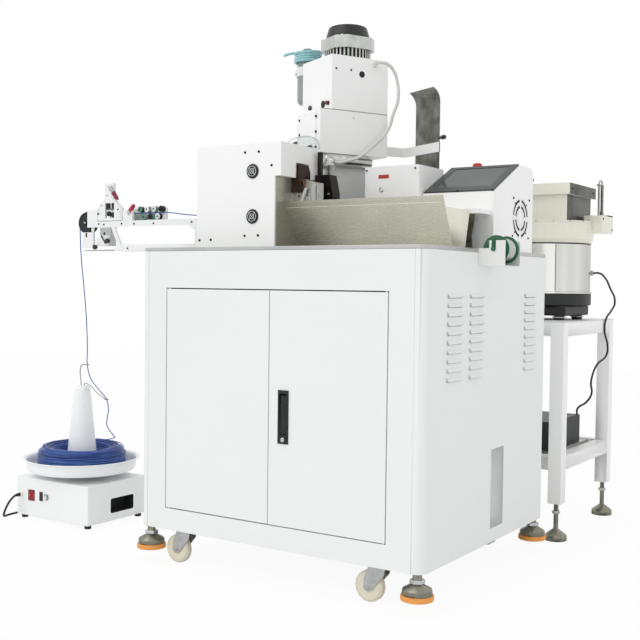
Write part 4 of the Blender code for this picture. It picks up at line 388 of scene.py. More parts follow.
def slab(material, outline, low, high, plane="XZ", edge=0.0):
    # A flat outline of points, extruded to its thickness.
    bpy.ops.mesh.primitive_circle_add(vertices=len(outline), radius=1.0, fill_type="NGON", location=(0, 0, 0))
    piece = bpy.context.object
    along = {"XZ": (0, high - low, 0), "YZ": (high - low, 0, 0), "XY": (0, 0, high - low)}[plane]
    for vertex, (u, v) in zip(piece.data.vertices, outline):
        vertex.co = {"XZ": (u, low, v), "YZ": (low, u, v), "XY": (u, v, low)}[plane]
    bpy.ops.object.mode_set(mode="EDIT")
    bpy.ops.mesh.select_all(action="SELECT")
    bpy.ops.mesh.extrude_region_move(TRANSFORM_OT_translate={"value": along})
    bpy.ops.mesh.select_all(action="SELECT")
    bpy.ops.mesh.normals_make_consistent(inside=False)
    if edge:
        bpy.ops.mesh.bevel(offset=edge, segments=2, affect="EDGES")
    bpy.ops.object.mode_set(mode="OBJECT")
    piece.data.materials.append(material)
    piece.select_set(False)
    return piece


def copied(piece, offset=(0.0, 0.0, 0.0), turn=0.0, about=(0.0, 0.0)):
    # One more of a piece, with its own mesh, turned about an upright line and then moved.
    made = piece.copy()
    made.data = piece.data.copy()
    bpy.context.scene.collection.objects.link(made)
    pivot = Matrix.Translation((*about, 0.0))
    made.data.transform(Matrix.Translation(offset) @ pivot @ Matrix.Rotation(turn, 4, "Z") @ pivot.inverted())
    return made


def gather(name, body, pieces, place=HOME, replaced=(), angle=35):
    # Joins a group of finished pieces into one, puts it in place and lets it ride on its body.
    for piece in pieces:
        piece.select_set(True)
    bpy.context.view_layer.objects.active = pieces[0]
    if len(pieces) > 1:
        bpy.ops.object.join()
    made = pieces[0]
    made.name = made.data.name = name
    made.data.transform(place)
    shaded(made, angle)
    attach(made, body)
    if replaced:
        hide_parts(*replaced)
    return made


# Polyester powder coat on steel sheet: white with a touch of green-grey and a faint orange peel.
white_coat = finish("white powder coat", "#F1F3F2", 0.42, shade=0.010, patch=0.30, grain=0.0016, relief=0.00003)
# The same coat on the smaller parts, painted whiter as painted light, to lift the shade they stand in.
bright_coat = finish("bright white powder coat", "#FBFCFB", 0.40, shade=0.010, patch=0.30, grain=0.0016,
                     relief=0.00003)
# The same coat painted dark grey, as painted shade in a slot or recess.
recess_shade_coat = finish("powder coat in painted recess shade", "#6F7472", 0.60, shade=0.08, patch=0.05, grain=0.0016)
# The coat inside the grip pocket, painted whiter than the wall round it as painted light, to lift the shade inside the
# pocket.
pocket_lit_coat = finish("powder coat painted lighter in the grip pocket", "#FDFEFE", 0.45, shade=0.02, patch=0.05, grain=0.0016)
# The coat inside the mouth of a louvre: grey, as it lies in shade.
mouth_grey = finish("shaded louvre mouth", "#8F9391", 0.60, shade=0.06, patch=0.02)
# Open slots, holes and seams in sheet metal: near black, the dark of the gaps and seams, and painted shade inside
# holes and slots.
dark_gap_and_shade = finish("near black gaps and painted shade", "#202322", 0.80, shade=0.10, patch=0.02)
# Ground mild steel plate: mid grey, brushed along the front, dulled by oil.
worktop_steel = finish("ground steel plate", "#BFC1BE", 0.36, 0.85, shade=0.10, patch=0.20, grain=0.0022,
                       relief=0.00002, stretch=(0.04, 1.0, 1.0))
# Zinc-plated pressed steel: cool bright grey with cloudy patches.
zinc_plate = finish("zinc-plated steel", "#B9BCBB", 0.30, 1.0, shade=0.12, patch=0.015, grain=0.0015)
# Cast nickel on the levelling feet: olive grey, half bright.
foot_nickel = finish("dull nickel casting", "#8C8B7E", 0.28, 1.0, shade=0.16, patch=0.02, grain=0.0015)

for panel in ("cabinet_front_frame", "cabinet_back_panel"):
    rework(panel, [white_coat], edge=PANEL_EDGE)
left_wall = rework("cabinet_left_panel", [white_coat, foot_nickel],
                   lambda middle, normal: 1 if middle.z < PLATE_LEVEL else 0)


def right_side(middle, normal):
    # The feet's casting, the grip pocket in its lightened coat, or the wall's own coat.
    if middle.z < PLATE_LEVEL:
        return 1
    in_pocket = 0.391 < middle.y < 0.477 and 0.137 < middle.z < 0.353 and middle.x > 0.857
    return 2 if in_pocket and (middle.x < 0.899 or abs(normal.x) < 0.5) else 0


right_wall = rework("cabinet_right_panel", [white_coat, foot_nickel, pocket_lit_coat], right_side)
for wall, x in ((left_wall, FOOT_X[0]), (right_wall, FOOT_X[1])):
    for vertex in wall.data.vertices:
        for y in FOOT_Y:
            # The foot's flange is drawn in by a tenth, so that its pad stands out round it.
            away = vertex.co - HOME.translation - Vector((x, y, 0.0))
            if vertex.co.z < 0.060 and 0.0360 < math.hypot(away.x, away.y) < 0.060:
                vertex.co.x -= away.x * 0.10
                vertex.co.y -= away.y * 0.10
rework("cabinet_base", [white_coat, zinc_plate], lambda middle, normal: 1 if middle.z < PLATE_LEVEL else 0)
rework("worktop_plate", [worktop_steel], edge=0.0012)

top_mouth = LOUVRE_TOP - MOUTH_DROP
mouth = block(mouth_grey, (0.8995, LOUVRE_Y[0] - 0.038, top_mouth - 0.0014),
              (0.9004, LOUVRE_Y[0] + 0.038, top_mouth), 0.0002, 1)
mouths = [mouth]
for y in LOUVRE_Y:
    for row in range(LOUVRE_ROWS):
        if row or y != LOUVRE_Y[0]:
            mouths.append(copied(mouth, (0.0, y - LOUVRE_Y[0], -row * LOUVRE_PITCH)))
gather("louvre_mouths", "machine", mouths)

# Mounting plate
# A zinc-plated steel plate at the back of the cabinet with two rails, each with five dark plastic
# modules. It shows only with the doors open.

# Galvanised sheet: pale grey with large dull crystals.
galvanised = finish("galvanised sheet", "#A3A6A5", 0.45, 0.8, shade=0.14, patch=0.02, grain=0.004)
# Moulded polyamide casing: dark grey and matt.
module_grey = finish("dark grey module casing", "#2C2F30", 0.55, shade=0.08, patch=0.04)
rework("electrics_plate", [galvanised, module_grey], lambda middle, normal: 1 if middle.y < 0.758 else 0)

# Doors and latch
# Two folded steel doors on hidden pins, coated like the cabinet. The right one carries a black latch
# plate with a paddle lever that tips out at its top.

# Black zinc die casting: fine texture, half matt.
latch_black = finish("black zinc casting", "#17191A", 0.38, 0.2, shade=0.10, patch=0.02, grain=0.0008)
# Chromed lock barrel: bright and smooth.
bright_chrome = finish("bright chrome", "#C9CCCC", 0.12, 1.0, shade=0.06, patch=0.01, uneven=0.1)


def door_part(middle, normal):
    # The latch plate let into the door round the lever, without the door's own inner skin behind it.
    on_plate = abs(middle.x - 0.496) < 0.0165 and abs(middle.z - 0.446) < 0.0695
    return 1 if on_plate and middle.y < 0.036 and abs(middle.y - 0.018) > 0.0005 else 0


rework("left_door", [white_coat], edge=0.0010)
rework("right_door", [white_coat, latch_black], door_part)
rework("latch_lever", [latch_black], edge=0.0012)
lock = turned(bright_chrome, [(0.0058, 0.0), (0.0058, 0.0016), (0.0046, 0.0022), (0.0042, 0.0012), (0.0008, 0.0010)],
              (0.4950, -0.0030, 0.3875), "Y", 20, side=-1)
gather("latch_lock", "right_door", [lock])

# Levelling feet
# Four cast domes on threaded studs under the side panels, each with a hex nut and an orange rubber pad
# round its foot.

# Polyurethane pad: warm orange, smooth and slightly translucent at its rim.
pad_orange = finish("orange polyurethane pad", "#F0A24E", 0.45, shade=0.06, patch=0.01)
foot_pad = turned(pad_orange, [(0.0390, 0.0345), (0.0406, 0.0352), (0.0409, 0.0440), (0.0395, 0.0475),
                               (0.0380, 0.0478)], (FOOT_X[0], FOOT_Y[0], 0.0), sides=40)
foot_nut = turned(bright_chrome, [(0.0118, 0.074), (0.0180, 0.0745), (0.0190, 0.0762), (0.0190, 0.0828),
                                  (0.0178, 0.0845), (0.0118, 0.0848)], (FOOT_X[0], FOOT_Y[0], 0.0), sides=6,
                  closed=True)
foot_pieces = [foot_pad, foot_nut]
for x, y in ((FOOT_X[0], FOOT_Y[1]), (FOOT_X[1], FOOT_Y[0]), (FOOT_X[1], FOOT_Y[1])):
    foot_pieces += [copied(piece, (x - FOOT_X[0], y - FOOT_Y[0], 0.0)) for piece in (foot_pad, foot_nut)]
gather("levelling_foot_pads", "machine", foot_pieces)

# Casters
# Four swivel casters: pressed zinc-plated forks with a ball race, and cream nylon wheels.

# Injection-moulded nylon: warm cream, slightly glossy, with faint flow marks.
nylon = finish("cream nylon", "#E6E0CB", 0.38, shade=0.05, patch=0.02)
for corner_name in ("front_left", "front_right", "rear_left", "rear_right"):
    rework(f"caster_fork_{corner_name}", [zinc_plate], edge=0.0004, sides=1)
    rework(f"caster_wheel_{corner_name}", [nylon], edge=0.0008)
    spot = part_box(f"caster_wheel_{corner_name}")
    middle = (spot[0] + spot[1]) / 2 - HOME.translation
    hub = turned(zinc_plate, [(0.0062, -0.0175), (0.0075, -0.0170), (0.0075, -0.0158), (0.0042, -0.0156)],
                 middle, "Y", 6)
    gather(f"caster_nut_{corner_name}", f"caster_fork_{corner_name}", [hub])

# Feed enclosure
# A box of folded white sheet with a hood over the cutter, held by black button-head screws. Two small
# round fans blow out through it, each behind a guard of wire rings.

FRONT_SCREWS = [(0.2874, 1.1466), (0.3340, 1.1462), (0.3770, 1.1072), (0.1285, 0.9089), (0.1692, 0.9097),
                (0.2881, 0.9190), (0.3339, 0.9196)]
VENTS = [(0.3144, 1.0943), (0.3152, 0.9714)]
FEED_FRONT = 0.100
WIRE_HALF = 0.0006         # half the thickness of a guard's wire


def screw(material, radius, place, axis="Y", side=-1):
    # A button-head socket screw: a low dome with a hollow in its middle, standing on the given side.
    return turned(material, [(radius, -0.0006), (radius, 0.25 * radius), (0.80 * radius, 0.62 * radius),
                             (0.48 * radius, 0.72 * radius), (0.40 * radius, 0.25 * radius)],
                  place, axis, 14, side=side)


# Blackened screw steel: satin, nearly black.
screw_black = finish("blackened screw steel", "#1D1F1F", 0.35, 0.4, shade=0.10, patch=0.01, grain=0.0008)
# Chromed wire of the rings in front of a fan: light grey, half bright.
ring_grey = finish("fan guard grey wire", "#DDE0DF", 0.35, 0.2, shade=0.06, patch=0.01)
# Moulded housing of a fan, in the shade behind its guard: nearly black.
guard_dark = finish("dark plastic behind the guard", "#141616", 0.50, shade=0.10, patch=0.01)

rework("feed_enclosure", [bright_coat, guard_dark], lambda middle, normal: 1 if middle.y < 0.0995 else 0,
       angle=5)
gather("enclosure_screws", "machine", [screw(screw_black, 0.0036, (x, FEED_FRONT, z)) for x, z in FRONT_SCREWS])
x, z = VENTS[0]
guard = [turned(dark_gap_and_shade, [(0.0196, -0.0014), (0.0196, -0.0026), (0.0186, -0.0036)], (x, FEED_FRONT, z), "Y", 40)]
for radius in (0.0066, 0.0134):
    guard.append(turned(ring_grey, [(radius - WIRE_HALF, -0.0054), (radius + WIRE_HALF, -0.0054),
                                    (radius + WIRE_HALF, -0.0040), (radius - WIRE_HALF, -0.0040)],
                        (x, FEED_FRONT, z), "Y", 32, closed=True))
for turn in (45, 135):
    bar = block(ring_grey, (-0.0150, -0.0056, -0.0005), (0.0150, -0.0034, 0.0005), 0.0002, 1)
    bar.data.transform(Matrix.Translation((x, FEED_FRONT, z)) @ Matrix.Rotation(math.radians(turn), 4, "Y"))
    guard.append(bar)
guard += [copied(piece, (VENTS[1][0] - x, 0.0, VENTS[1][1] - z)) for piece in guard]
gather("fan_guard_rings", "machine", guard)

# Catch trough
# A channel of brushed stainless sheet in front of the press, bent with a narrow lip along its front wall
# and a cheek plate against the feed enclosure. It catches the cut leads.

# Brushed stainless steel, warm grey: fine lines along the sheet, cloudy where it was wiped.
trough_steel = finish("brushed stainless sheet", "#D9D6C8", 0.30, 0.70, shade=0.09, patch=0.16, grain=0.0016,
                      relief=0.00003, stretch=(0.05, 1.0, 1.0), uneven=0.25)
# Painted shade and reflection: the sheet is darker at its left end, beside the feed enclosure, and lighter towards its
# right end.
fade(trough_steel, (1.0, 0.0, 0.0), [(HOME.translation.x + 0.38, 0.70), (HOME.translation.x + 0.44, 0.82),
                                     (HOME.translation.x + 0.60, 1.00), (HOME.translation.x + 0.76, 1.15),
                                     (HOME.translation.x + 0.90, 1.18)])
rework("catch_trough", [trough_steel], edge=0.0006)
hem = block(trough_steel, (0.3980, 0.1352, 0.9935), (0.8660, 0.1358, 0.9950), 0.0002, 1)
gather("trough_hem_line", "machine", [hem])

# Cutting unit
# A blackened steel cutting head under the hood, with a copper-coloured edge, a ground blade that slides
# down its right face and a white strut that ties it to the trough.

# Blued steel: brown-black and oily.
blued_steel = finish("blued brown steel", "#3A2A22", 0.34, 0.6, shade=0.25, patch=0.02, grain=0.0012)
# Bare copper alloy edge: warm and half bright.
copper = finish("copper alloy edge", "#A5694A", 0.30, 1.0, shade=0.15, patch=0.01)
# Ground tool steel: pale and bright with fine lines.
ground_steel = finish("ground tool steel", "#C3C4C2", 0.24, 1.0, shade=0.10, patch=0.01, grain=0.0010)
# Black anodised aluminium: smooth and slightly purple-brown.
black_anodised = finish("black anodised aluminium", "#231C1B", 0.36, 0.5, shade=0.15, patch=0.02)
# White acetal blocks: plain white, soft gloss.
white_acetal = finish("white acetal", "#ECEDEA", 0.35, shade=0.03, patch=0.01)
rework("cutter_head", [blued_steel, ground_steel], lambda middle, normal: 1 if middle.z < 1.0620 and middle.x > 0.4100
       else 0, edge=0.0008)
rework("cutter_blade", [ground_steel], edge=0.0003, sides=1)
cutter_parts = [
    slab(copper, [(0.3905, 1.0760), (0.4170, 1.0760), (0.4240, 1.0560), (0.4210, 1.0560), (0.4150, 1.0730),
                  (0.3905, 1.0740)], 0.1895, 0.1918, "XZ", 0.0003),
    slab(ground_steel, [(0.396, 1.012), (0.420, 1.004), (0.430, 0.968), (0.400, 0.962)], 0.1850, 0.1918, "XZ", 0.0006),
    slab(ground_steel, [(0.424, 1.030), (0.444, 1.026), (0.448, 0.990), (0.430, 0.984)], 0.1870, 0.1918, "XZ", 0.0006),
    slab(white_acetal, [(0.4300, 1.0500), (0.4365, 1.0520), (0.4160, 0.9920), (0.4080, 0.9900)], 0.1800, 0.1865,
         "XZ", 0.0006)]
for x, z in ((0.4040, 1.0020), (0.4180, 0.9760), (0.4380, 1.0120), (0.4260, 1.0430)):
    cutter_parts.append(screw(bright_chrome, 0.0032, (x, 0.1852, z)))
for x, z in ((0.3985, 1.0450), (0.4050, 1.0300)):
    cutter_parts.append(screw(screw_black, 0.0030, (x, 0.1920, z)))
gather("cutter_fittings", "machine", cutter_parts)

# Swing gripper
# A black anodised arm on the post before the press. It takes the cut lead and swings it into the press;
# a silver clamp screw and white pads sit on it.

rework("swing_gripper", [black_anodised], edge=0.0012)
grip_parts = [screw(bright_chrome, 0.0042, (0.4560, 0.2618, 1.0400)),
              screw(screw_black, 0.0030, (0.4240, 0.2618, 1.0750)),
              screw(screw_black, 0.0030, (0.4240, 0.2618, 1.0550)),
              block(white_acetal, (0.4120, 0.2530, 1.0020), (0.4200, 0.2625, 1.0140), 0.0008),
              block(white_acetal, (0.4264, 0.2560, 1.0350), (0.4400, 0.2625, 1.0460), 0.0008),
              block(white_acetal, (0.4520, 0.2500, 1.0010), (0.4690, 0.2625, 1.0150), 0.0010),
              block(black_anodised, (0.4160, 0.2640, 1.0900), (0.4280, 0.2760, 1.1590), 0.0012)]
gather("gripper_fittings", "swing_gripper", grip_parts)

# Crimping press
# A cast C-frame, painted light grey, under a white sheet-metal head. The head carries an access plate and,
# screwed to its front, a low clear hood and an arched sheet of the same acrylic. The cylinder under it is
# polished steel.

# Painted iron casting: light cool grey, faintly rough.
casting_grey = finish("light grey painted casting", "#F4F5F4", 0.45, shade=0.05, patch=0.06, grain=0.003,
                      relief=0.00006)
# Polished steel tube, clouded with painted reflection: dark where it mirrors the machine, streaked along its length.
polished_dark = finish("dark polished steel", "#C6C7C3", 0.14, 1.0, shade=0.40, patch=0.03, grain=0.004,
                       stretch=(1.0, 1.0, 0.1), relief=0.00001)
# Black phenolic knob: smooth and glossy.
knob_black = finish("black phenolic knob", "#151616", 0.22, shade=0.05, patch=0.01)
# Clear acrylic sheet: almost invisible, with bright edges.
clear_acrylic = finish("clear acrylic sheet", "#F2F8F7", 0.06, shade=0.01, patch=0.05, relief=0.0)
clear_shader = clear_acrylic.node_tree.nodes["Principled BSDF"]
clear_shader.inputs["Transmission Weight"].default_value = 0.90
clear_shader.inputs["IOR"].default_value = 1.10
clear_shader.inputs["Alpha"].default_value = 0.55


def from_press(middle):
    # A place given from the cabinet's corner, turned into the press's own axes.
    away = Vector((middle.x - PRESS_AT[0], middle.y - PRESS_AT[1], middle.z))
    return Matrix.Rotation(-PRESS_TURN, 3, "Z") @ away


def frame_part(middle, normal):
    # The cylinder and its port block are polished, the rest is the painted casting.
    spot = from_press(middle)
    return 1 if spot.x > -0.0075 and spot.z > 1.115 or (spot.y < 0.056 and spot.z > 1.131) else 0


rework("press_frame", [casting_grey, polished_dark], frame_part)
rework("press_ram", [ground_steel], edge=0.0008)


def head_part(middle, normal):
    # The low clear hood stands in front of the head, up to the height of its lowest screw.
    spot = from_press(middle)
    return 1 if spot.y < -0.0035 and spot.z < 1.1895 else 0


rework("press_head", [bright_coat, clear_acrylic], head_part, angle=5)
head_parts = [screw(screw_black, 0.0036, (a, -0.003, z)) for a, z in
              ((-0.1189, 1.2773), (-0.1179, 1.2341), (-0.0205, 1.2780), (-0.0206, 1.2331), (-0.0195, 1.1887))]
head_parts += [screw(ring_grey, 0.0034, (0.0, 0.1128, 1.2807), "X", 1),
               slab(screw_black, [(-0.1580, 1.2131), (-0.1415, 1.2167), (-0.1290, 1.2168), (-0.1282, 1.2079)],
                    -0.0066, -0.0058, "XZ"),
               slab(screw_black, [(-0.0699, 1.1949), (-0.0511, 1.1965), (-0.0398, 1.1959), (-0.0377, 1.1874)],
                    -0.0066, -0.0058, "XZ"),
               # A thin grey strip of painted shade under the top edge of the head's right face.
               block(recess_shade_coat, (-0.0002, 0.002, 1.2985), (0.0004, 0.232, 1.3000), 0.0001, 1)]
gather("press_head_fittings", "machine", head_parts, PRESS)

# Cut edge of the acrylic sheet: pale grey-green, catching the light.
acrylic_edge = finish("acrylic sheet edge", "#B4BBB8", 0.25, shade=0.05, patch=0.02)
# The arch of the clear guard sheet, by places to the press's right and up.
GUARD_ARCH = [(-0.1880, 1.1620), (-0.1900, 1.2060), (-0.1803, 1.2220), (-0.1523, 1.2277), (-0.1241, 1.2288),
              (-0.0949, 1.2275), (-0.0694, 1.2248), (-0.0410, 1.2193), (-0.0191, 1.2112), (-0.0036, 1.2003),
              (0.0034, 1.1889), (0.0012, 1.1786), (-0.0029, 1.1714), (-0.0029, 1.1620)]
gather("arched_guard_sheet", "machine", [slab(clear_acrylic, GUARD_ARCH, -0.0058, -0.0034, "XZ")], PRESS)
guard_rim = strand("arched_guard_edge", [PRESS @ Vector((a, -0.0050, z)) for a, z in GUARD_ARCH], 0.0009, acrylic_edge,
                   "machine", 2)

# Press cover
# A folded white cover over the drive, with a black start button and a dark red lamp at its lower right
# corner, a black clamp knob at its left and the conduit's gland near the top of its right face.

COVER_FRONT = 0.0365
BUTTON_Z = 1.3195
CONDUIT_GLAND = (0.0, 0.183, 1.446)
# Dark red lamp lens: deep and glossy.
lamp_red = finish("dark red lamp lens", "#5A1420", 0.15, shade=0.06, patch=0.005)


def cover_part(middle, normal):
    return 1 if from_press(middle).y < COVER_FRONT else 0


cover = rework("press_cover", [bright_coat, knob_black], cover_part, angle=5)
for vertex in cover.data.vertices:
    spot = from_press(vertex.co - HOME.translation)
    if spot.y < COVER_FRONT:
        # The clamp knob stands out less than its solid does.
        vertex.co += PRESS.to_3x3() @ Vector((0.0, 0.60 * (COVER_FRONT - spot.y), 0.0))
cover_parts = [
    turned(lamp_red, [(0.0062, -0.0012), (0.0062, 0.0032), (0.0050, 0.0050), (0.0030, 0.0058)],
           (-0.0177, 0.0330, BUTTON_Z), "Y", 24, side=-1),
    turned(latch_black, [(0.0105, 0.0), (0.0105, 0.0020), (0.0090, 0.0030), (0.0064, 0.0030), (0.0064, 0.0004)],
           (-0.0473, 0.0368, BUTTON_Z), "Y", 28, closed=True, side=-1),
    turned(dark_gap_and_shade, [(0.0096, -0.0005), (0.0096, 0.0006), (0.0090, 0.0008)], (0.0, 0.1407, 1.4106), "X", 28),
    screw(latch_black, 0.0030, (0.0, 0.0522, 1.4191), "X", 1),
    screw(latch_black, 0.0030, (0.0, 0.1026, 1.4192), "X", 1),
    turned(white_acetal, [(0.0100, 0.0), (0.0100, 0.0050), (0.0088, 0.0060), (0.0088, 0.0096), (0.0060, 0.0102),
                          (0.0056, 0.0098)], CONDUIT_GLAND, "X", 6, closed=True)]
gather("press_cover_fittings", "machine", cover_parts, PRESS)
rework("press_start_button", [knob_black], edge=0.0006)

# Motor
# A finned stator between the cover and a square cast end bell with cut corners, with a black pressed fan
# cowl on top. Four tie bolts hold it together.

MOTOR = (-0.073, 0.135)
STATOR = (1.4603, 1.4870)
BELL_TOP = 1.5240
BELL_HALF, BELL_CUT = 0.0695, 0.0410       # half the end bell's width, and where its corners are cut
FINS = 36
# Die-cast aluminium: bright grey, sand-fine skin.
cast_aluminium = finish("die-cast aluminium", "#C4C6C3", 0.34, 1.0, shade=0.14, patch=0.02, grain=0.0012,
                        relief=0.00005)
# Black painted steel pressing: satin with a soft edge light.
cowl_black = finish("black fan cowl", "#161816", 0.36, shade=0.10, patch=0.03, grain=0.002)
stator = turned(screw_black, [(0.0590, STATOR[0]), (0.0590, STATOR[1] + 0.0005)], (*MOTOR, 0.0), sides=48)
fin = block(cast_aluminium, (MOTOR[0] + 0.0560, MOTOR[1] - 0.0024, STATOR[0]),
            (MOTOR[0] + 0.0690, MOTOR[1] + 0.0024, STATOR[1]), 0.0005, 1)
fins = [stator, fin]
fins += [copied(fin, turn=math.tau * number / FINS, about=MOTOR) for number in range(1, FINS)]
bell = slab(cast_aluminium, [(MOTOR[0] + x, MOTOR[1] + y) for x, y in
                             ((-BELL_CUT, -BELL_HALF), (BELL_CUT, -BELL_HALF), (BELL_HALF, -BELL_CUT),
                              (BELL_HALF, BELL_CUT), (BELL_CUT, BELL_HALF), (-BELL_CUT, BELL_HALF),
                              (-BELL_HALF, BELL_CUT), (-BELL_HALF, -BELL_CUT))], STATOR[1], BELL_TOP, "XY", 0.0015)
cowl = turned(cowl_black, [(0.0655, BELL_TOP - 0.001), (0.0660, BELL_TOP + 0.0030), (0.0645, BELL_TOP + 0.0110),
                           (0.0600, BELL_TOP + 0.0260), (0.0582, BELL_TOP + 0.0320), (0.0560, BELL_TOP + 0.0350),
                           (0.0500, BELL_TOP + 0.0372), (0.0380, BELL_TOP + 0.0386), (0.0120, BELL_TOP + 0.0392)],
              (*MOTOR, 0.0), sides=64)
bolt = screw(bright_chrome, 0.0040, (MOTOR[0] - 0.0510, MOTOR[1] - 0.0510, BELL_TOP), "Z", 1)
bolts = [bolt] + [copied(bolt, turn=math.radians(turn), about=MOTOR) for turn in (90, 180, 270)]
gather("motor_dressed", "machine", fins + [bell, cowl] + bolts, PRESS, ("press_motor",), 30)

# Oil bottle and air hose
# A translucent grey bottle is strapped to the cover's left side. The spare length of a cyan air hose is
# looped round the bottle's neck, with its free end pointing forward.

BOTTLE = (-0.213, 0.075)
BOTTLE_FOOT = 1.344
SHOULDER = 1.466
# Blow-moulded polyethylene, half see-through: grey with a soft gloss.
bottle_haze = finish("translucent grey polyethylene", "#A3ABA8", 0.28, shade=0.12, patch=0.03)
bottle_haze.node_tree.nodes["Principled BSDF"].inputs["Transmission Weight"].default_value = 0.15
bottle = turned(bottle_haze, [(0.0150, BOTTLE_FOOT), (0.0240, BOTTLE_FOOT + 0.0010), (0.0290, BOTTLE_FOOT + 0.0060),
                              (0.0308, BOTTLE_FOOT + 0.0140), (0.0310, BOTTLE_FOOT + 0.0200),
                              (0.0310, SHOULDER + 0.0200), (0.0300, SHOULDER + 0.0280), (0.0270, SHOULDER + 0.0330),
                              (0.0200, SHOULDER + 0.0370), (0.0140, SHOULDER + 0.0390), (0.0139, SHOULDER + 0.0500)],
                (*BOTTLE, 0.0), sides=48)
strap = turned(white_acetal, [(0.0312, 1.430), (0.0338, 1.4305), (0.0340, 1.4320), (0.0340, 1.4560), (0.0338, 1.4575),
                              (0.0312, 1.458)], (*BOTTLE, 0.0), sides=48, closed=True)
lug = block(white_acetal, (-0.1830, 0.0630, 1.4310), (-0.1744, 0.0870, 1.4570), 0.0010)
tab = block(white_acetal, (-0.2560, 0.0560, 1.4320), (-0.2380, 0.0590, 1.4560), 0.0008)
tab_screw = screw(latch_black, 0.0030, (-0.2500, 0.0560, 1.4440))
gather("bottle_dressed", "machine", [bottle, strap, lug, tab, tab_screw], PRESS, ("oil_bottle",),
       40)

# Polyurethane air hose: clear cyan, glossy.
hose_cyan = finish("cyan polyurethane hose", "#A6DCE2", 0.20, shade=0.10, patch=0.02, grain=0.003, relief=0.00001)
hose_cyan.node_tree.nodes["Principled BSDF"].inputs["Transmission Weight"].default_value = 0.15
HOSE_R = 0.0042
HOSE_TURNS, HOSE_STEPS = 4, 18
loops = []
for step in range(HOSE_TURNS * HOSE_STEPS + 1):
    share = step / HOSE_STEPS
    angle = math.radians(200) + math.tau * share
    radius = 0.0392 + 0.0020 * math.sin(2.2 * share + 0.5)
    loops.append((BOTTLE[0] + 0.0045 + radius * math.cos(angle), BOTTLE[1] + radius * math.sin(angle),
                  1.4740 + 0.0082 * share + 0.0010 * math.sin(angle * 2)))
loops += [(-0.2450, 0.0460, 1.5066), (-0.2530, 0.0310, 1.5040), (-0.2640, 0.0190, 1.4990)]
hose = strand("air_hose_loops", [PRESS @ Vector(point) for point in loops], HOSE_R, hose_cyan, "machine", 4)
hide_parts("air_hose_coil")

# Terminal guide
# A white bracket band round the press carries a bent sheet of stainless steel, curled back at its top,
# over which the strip of terminals runs into the press. A black cone knob clamps it.

# Stainless sheet: dark grey, mottled, half mirror.
mottled_steel = finish("mottled stainless sheet", "#85867F", 0.22, 1.0, shade=0.55, patch=0.035, grain=0.0020,
                       relief=0.00006, uneven=0.3)
# Painted bracket: plain white.
bracket_white = finish("white bracket paint", "#EDEEEC", 0.40, shade=0.02, patch=0.05)


def guide_part(middle, normal):
    # The cone knob, the bent sheet, or the bracket band.
    spot = from_press(middle)
    if spot.x > 0.1722 or (spot.x > 0.1675 and abs(spot.z - 1.217) < 0.0070):
        return 2
    return 1 if spot.z > 1.2055 or (spot.y > 0.2990 and (spot.z < 1.1765 or spot.y > 0.3001)) else 0


rework("terminal_guide", [bracket_white, mottled_steel, knob_black], guide_part)
guide_fold = block(bracket_white, (0.0500, 0.3022, 1.1775), (0.0540, 0.3030, 1.2045), 0.0003, 1)
gather("terminal_guide_fold", "machine", [guide_fold, screw(screw_black, 0.0030, (0.0280, 0.3000, 1.1910), "Y", 1),
                                          screw(screw_black, 0.0030, (0.0440, 0.3000, 1.1910), "Y", 1)],
       PRESS)

# Tin pot and its cover
# A three-sided white sheet cover stands on the worktop over the round solder pot. It carries a small red
# plate and a round cable fitting.

POT_FRONT = 0.370
# Red stoving enamel on a steel plate: flat, with a soft gloss.
plate_red = finish("red enamelled plate", "#B8342C", 0.40, shade=0.05, patch=0.01)
# Heat-tinted stainless pot: brown-grey, streaked.
pot_steel = finish("heat-tinted stainless pot", "#6C645C", 0.30, 1.0, shade=0.30, patch=0.02, grain=0.002)
# Molten tin: bright and still.
tin = finish("bath of tin", "#C9CBCB", 0.10, 1.0, shade=0.08, patch=0.015)
rework("solder_cover", [bright_coat], angle=5)
rework("solder_pot", [pot_steel, tin], lambda middle, normal: 1 if normal.z > 0.9 and middle.z > 1.00 and
       math.hypot(middle.x - 0.593, middle.y - 0.450) < 0.0335 else 0)
fitting = turned(bright_chrome, [(0.0076, -0.0005), (0.0076, 0.0012), (0.0060, 0.0024), (0.0052, 0.0024),
                                 (0.0048, 0.0008)], (0.5637, POT_FRONT, 1.0573), "Y", 24, side=-1)
cover_trim = [block(plate_red, (0.5535, 0.3692, 1.0877), (0.5872, 0.3702, 1.0982), 0.0003, 1), fitting,
              *[screw(screw_black, 0.0030, (x, POT_FRONT, z)) for z in (1.1120, 0.9000) for x in (0.5150, 0.6700)]]
gather("solder_cover_trim", "machine", cover_trim)

# Control housing
# A white sheet-metal desk with a sloping touch panel, a shelf with a steel deflector in front, a round
# fan grille in its right face and a row of black socket screws.

HOUSING_FRONT = 0.392
HOUSING_SIDE = 0.895
GRILLE = (0.577, 0.980)    # the fan grille's middle, back and up
HOUSING_SCREWS = [(0.7884, 1.0465), (0.8906, 1.0453)]
SIDE_SCREWS = [(0.5253, 1.0341), (0.6398, 1.0350), (0.6354, 0.9270), (0.5211, 0.9290)]
# Satin stainless deflector: mid grey.
deflector_steel = finish("satin stainless deflector", "#A6A7A3", 0.28, 1.0, shade=0.20, patch=0.04, grain=0.0016,
                         stretch=(1.0, 1.0, 0.1))
# Touch panel frame: dark grey moulded plastic.
bezel_grey = finish("dark grey panel frame", "#3B403F", 0.45, shade=0.05, patch=0.05)
# Screen glass: dark green-grey, smooth, showing the room's light.
screen_glass = finish("screen glass", "#3A403E", 0.10, shade=0.05, patch=0.08, relief=0.0, uneven=0.1)
screen_glass.node_tree.nodes["Principled BSDF"].inputs["Specular IOR Level"].default_value = 0.25
PANEL_FOOT, PANEL_HEAD = (0.392, 1.042), (0.566, 1.128)      # the sloping panel's ends, back and up
lean = Vector((PANEL_HEAD[0] - PANEL_FOOT[0], PANEL_HEAD[1] - PANEL_FOOT[1])).normalized()


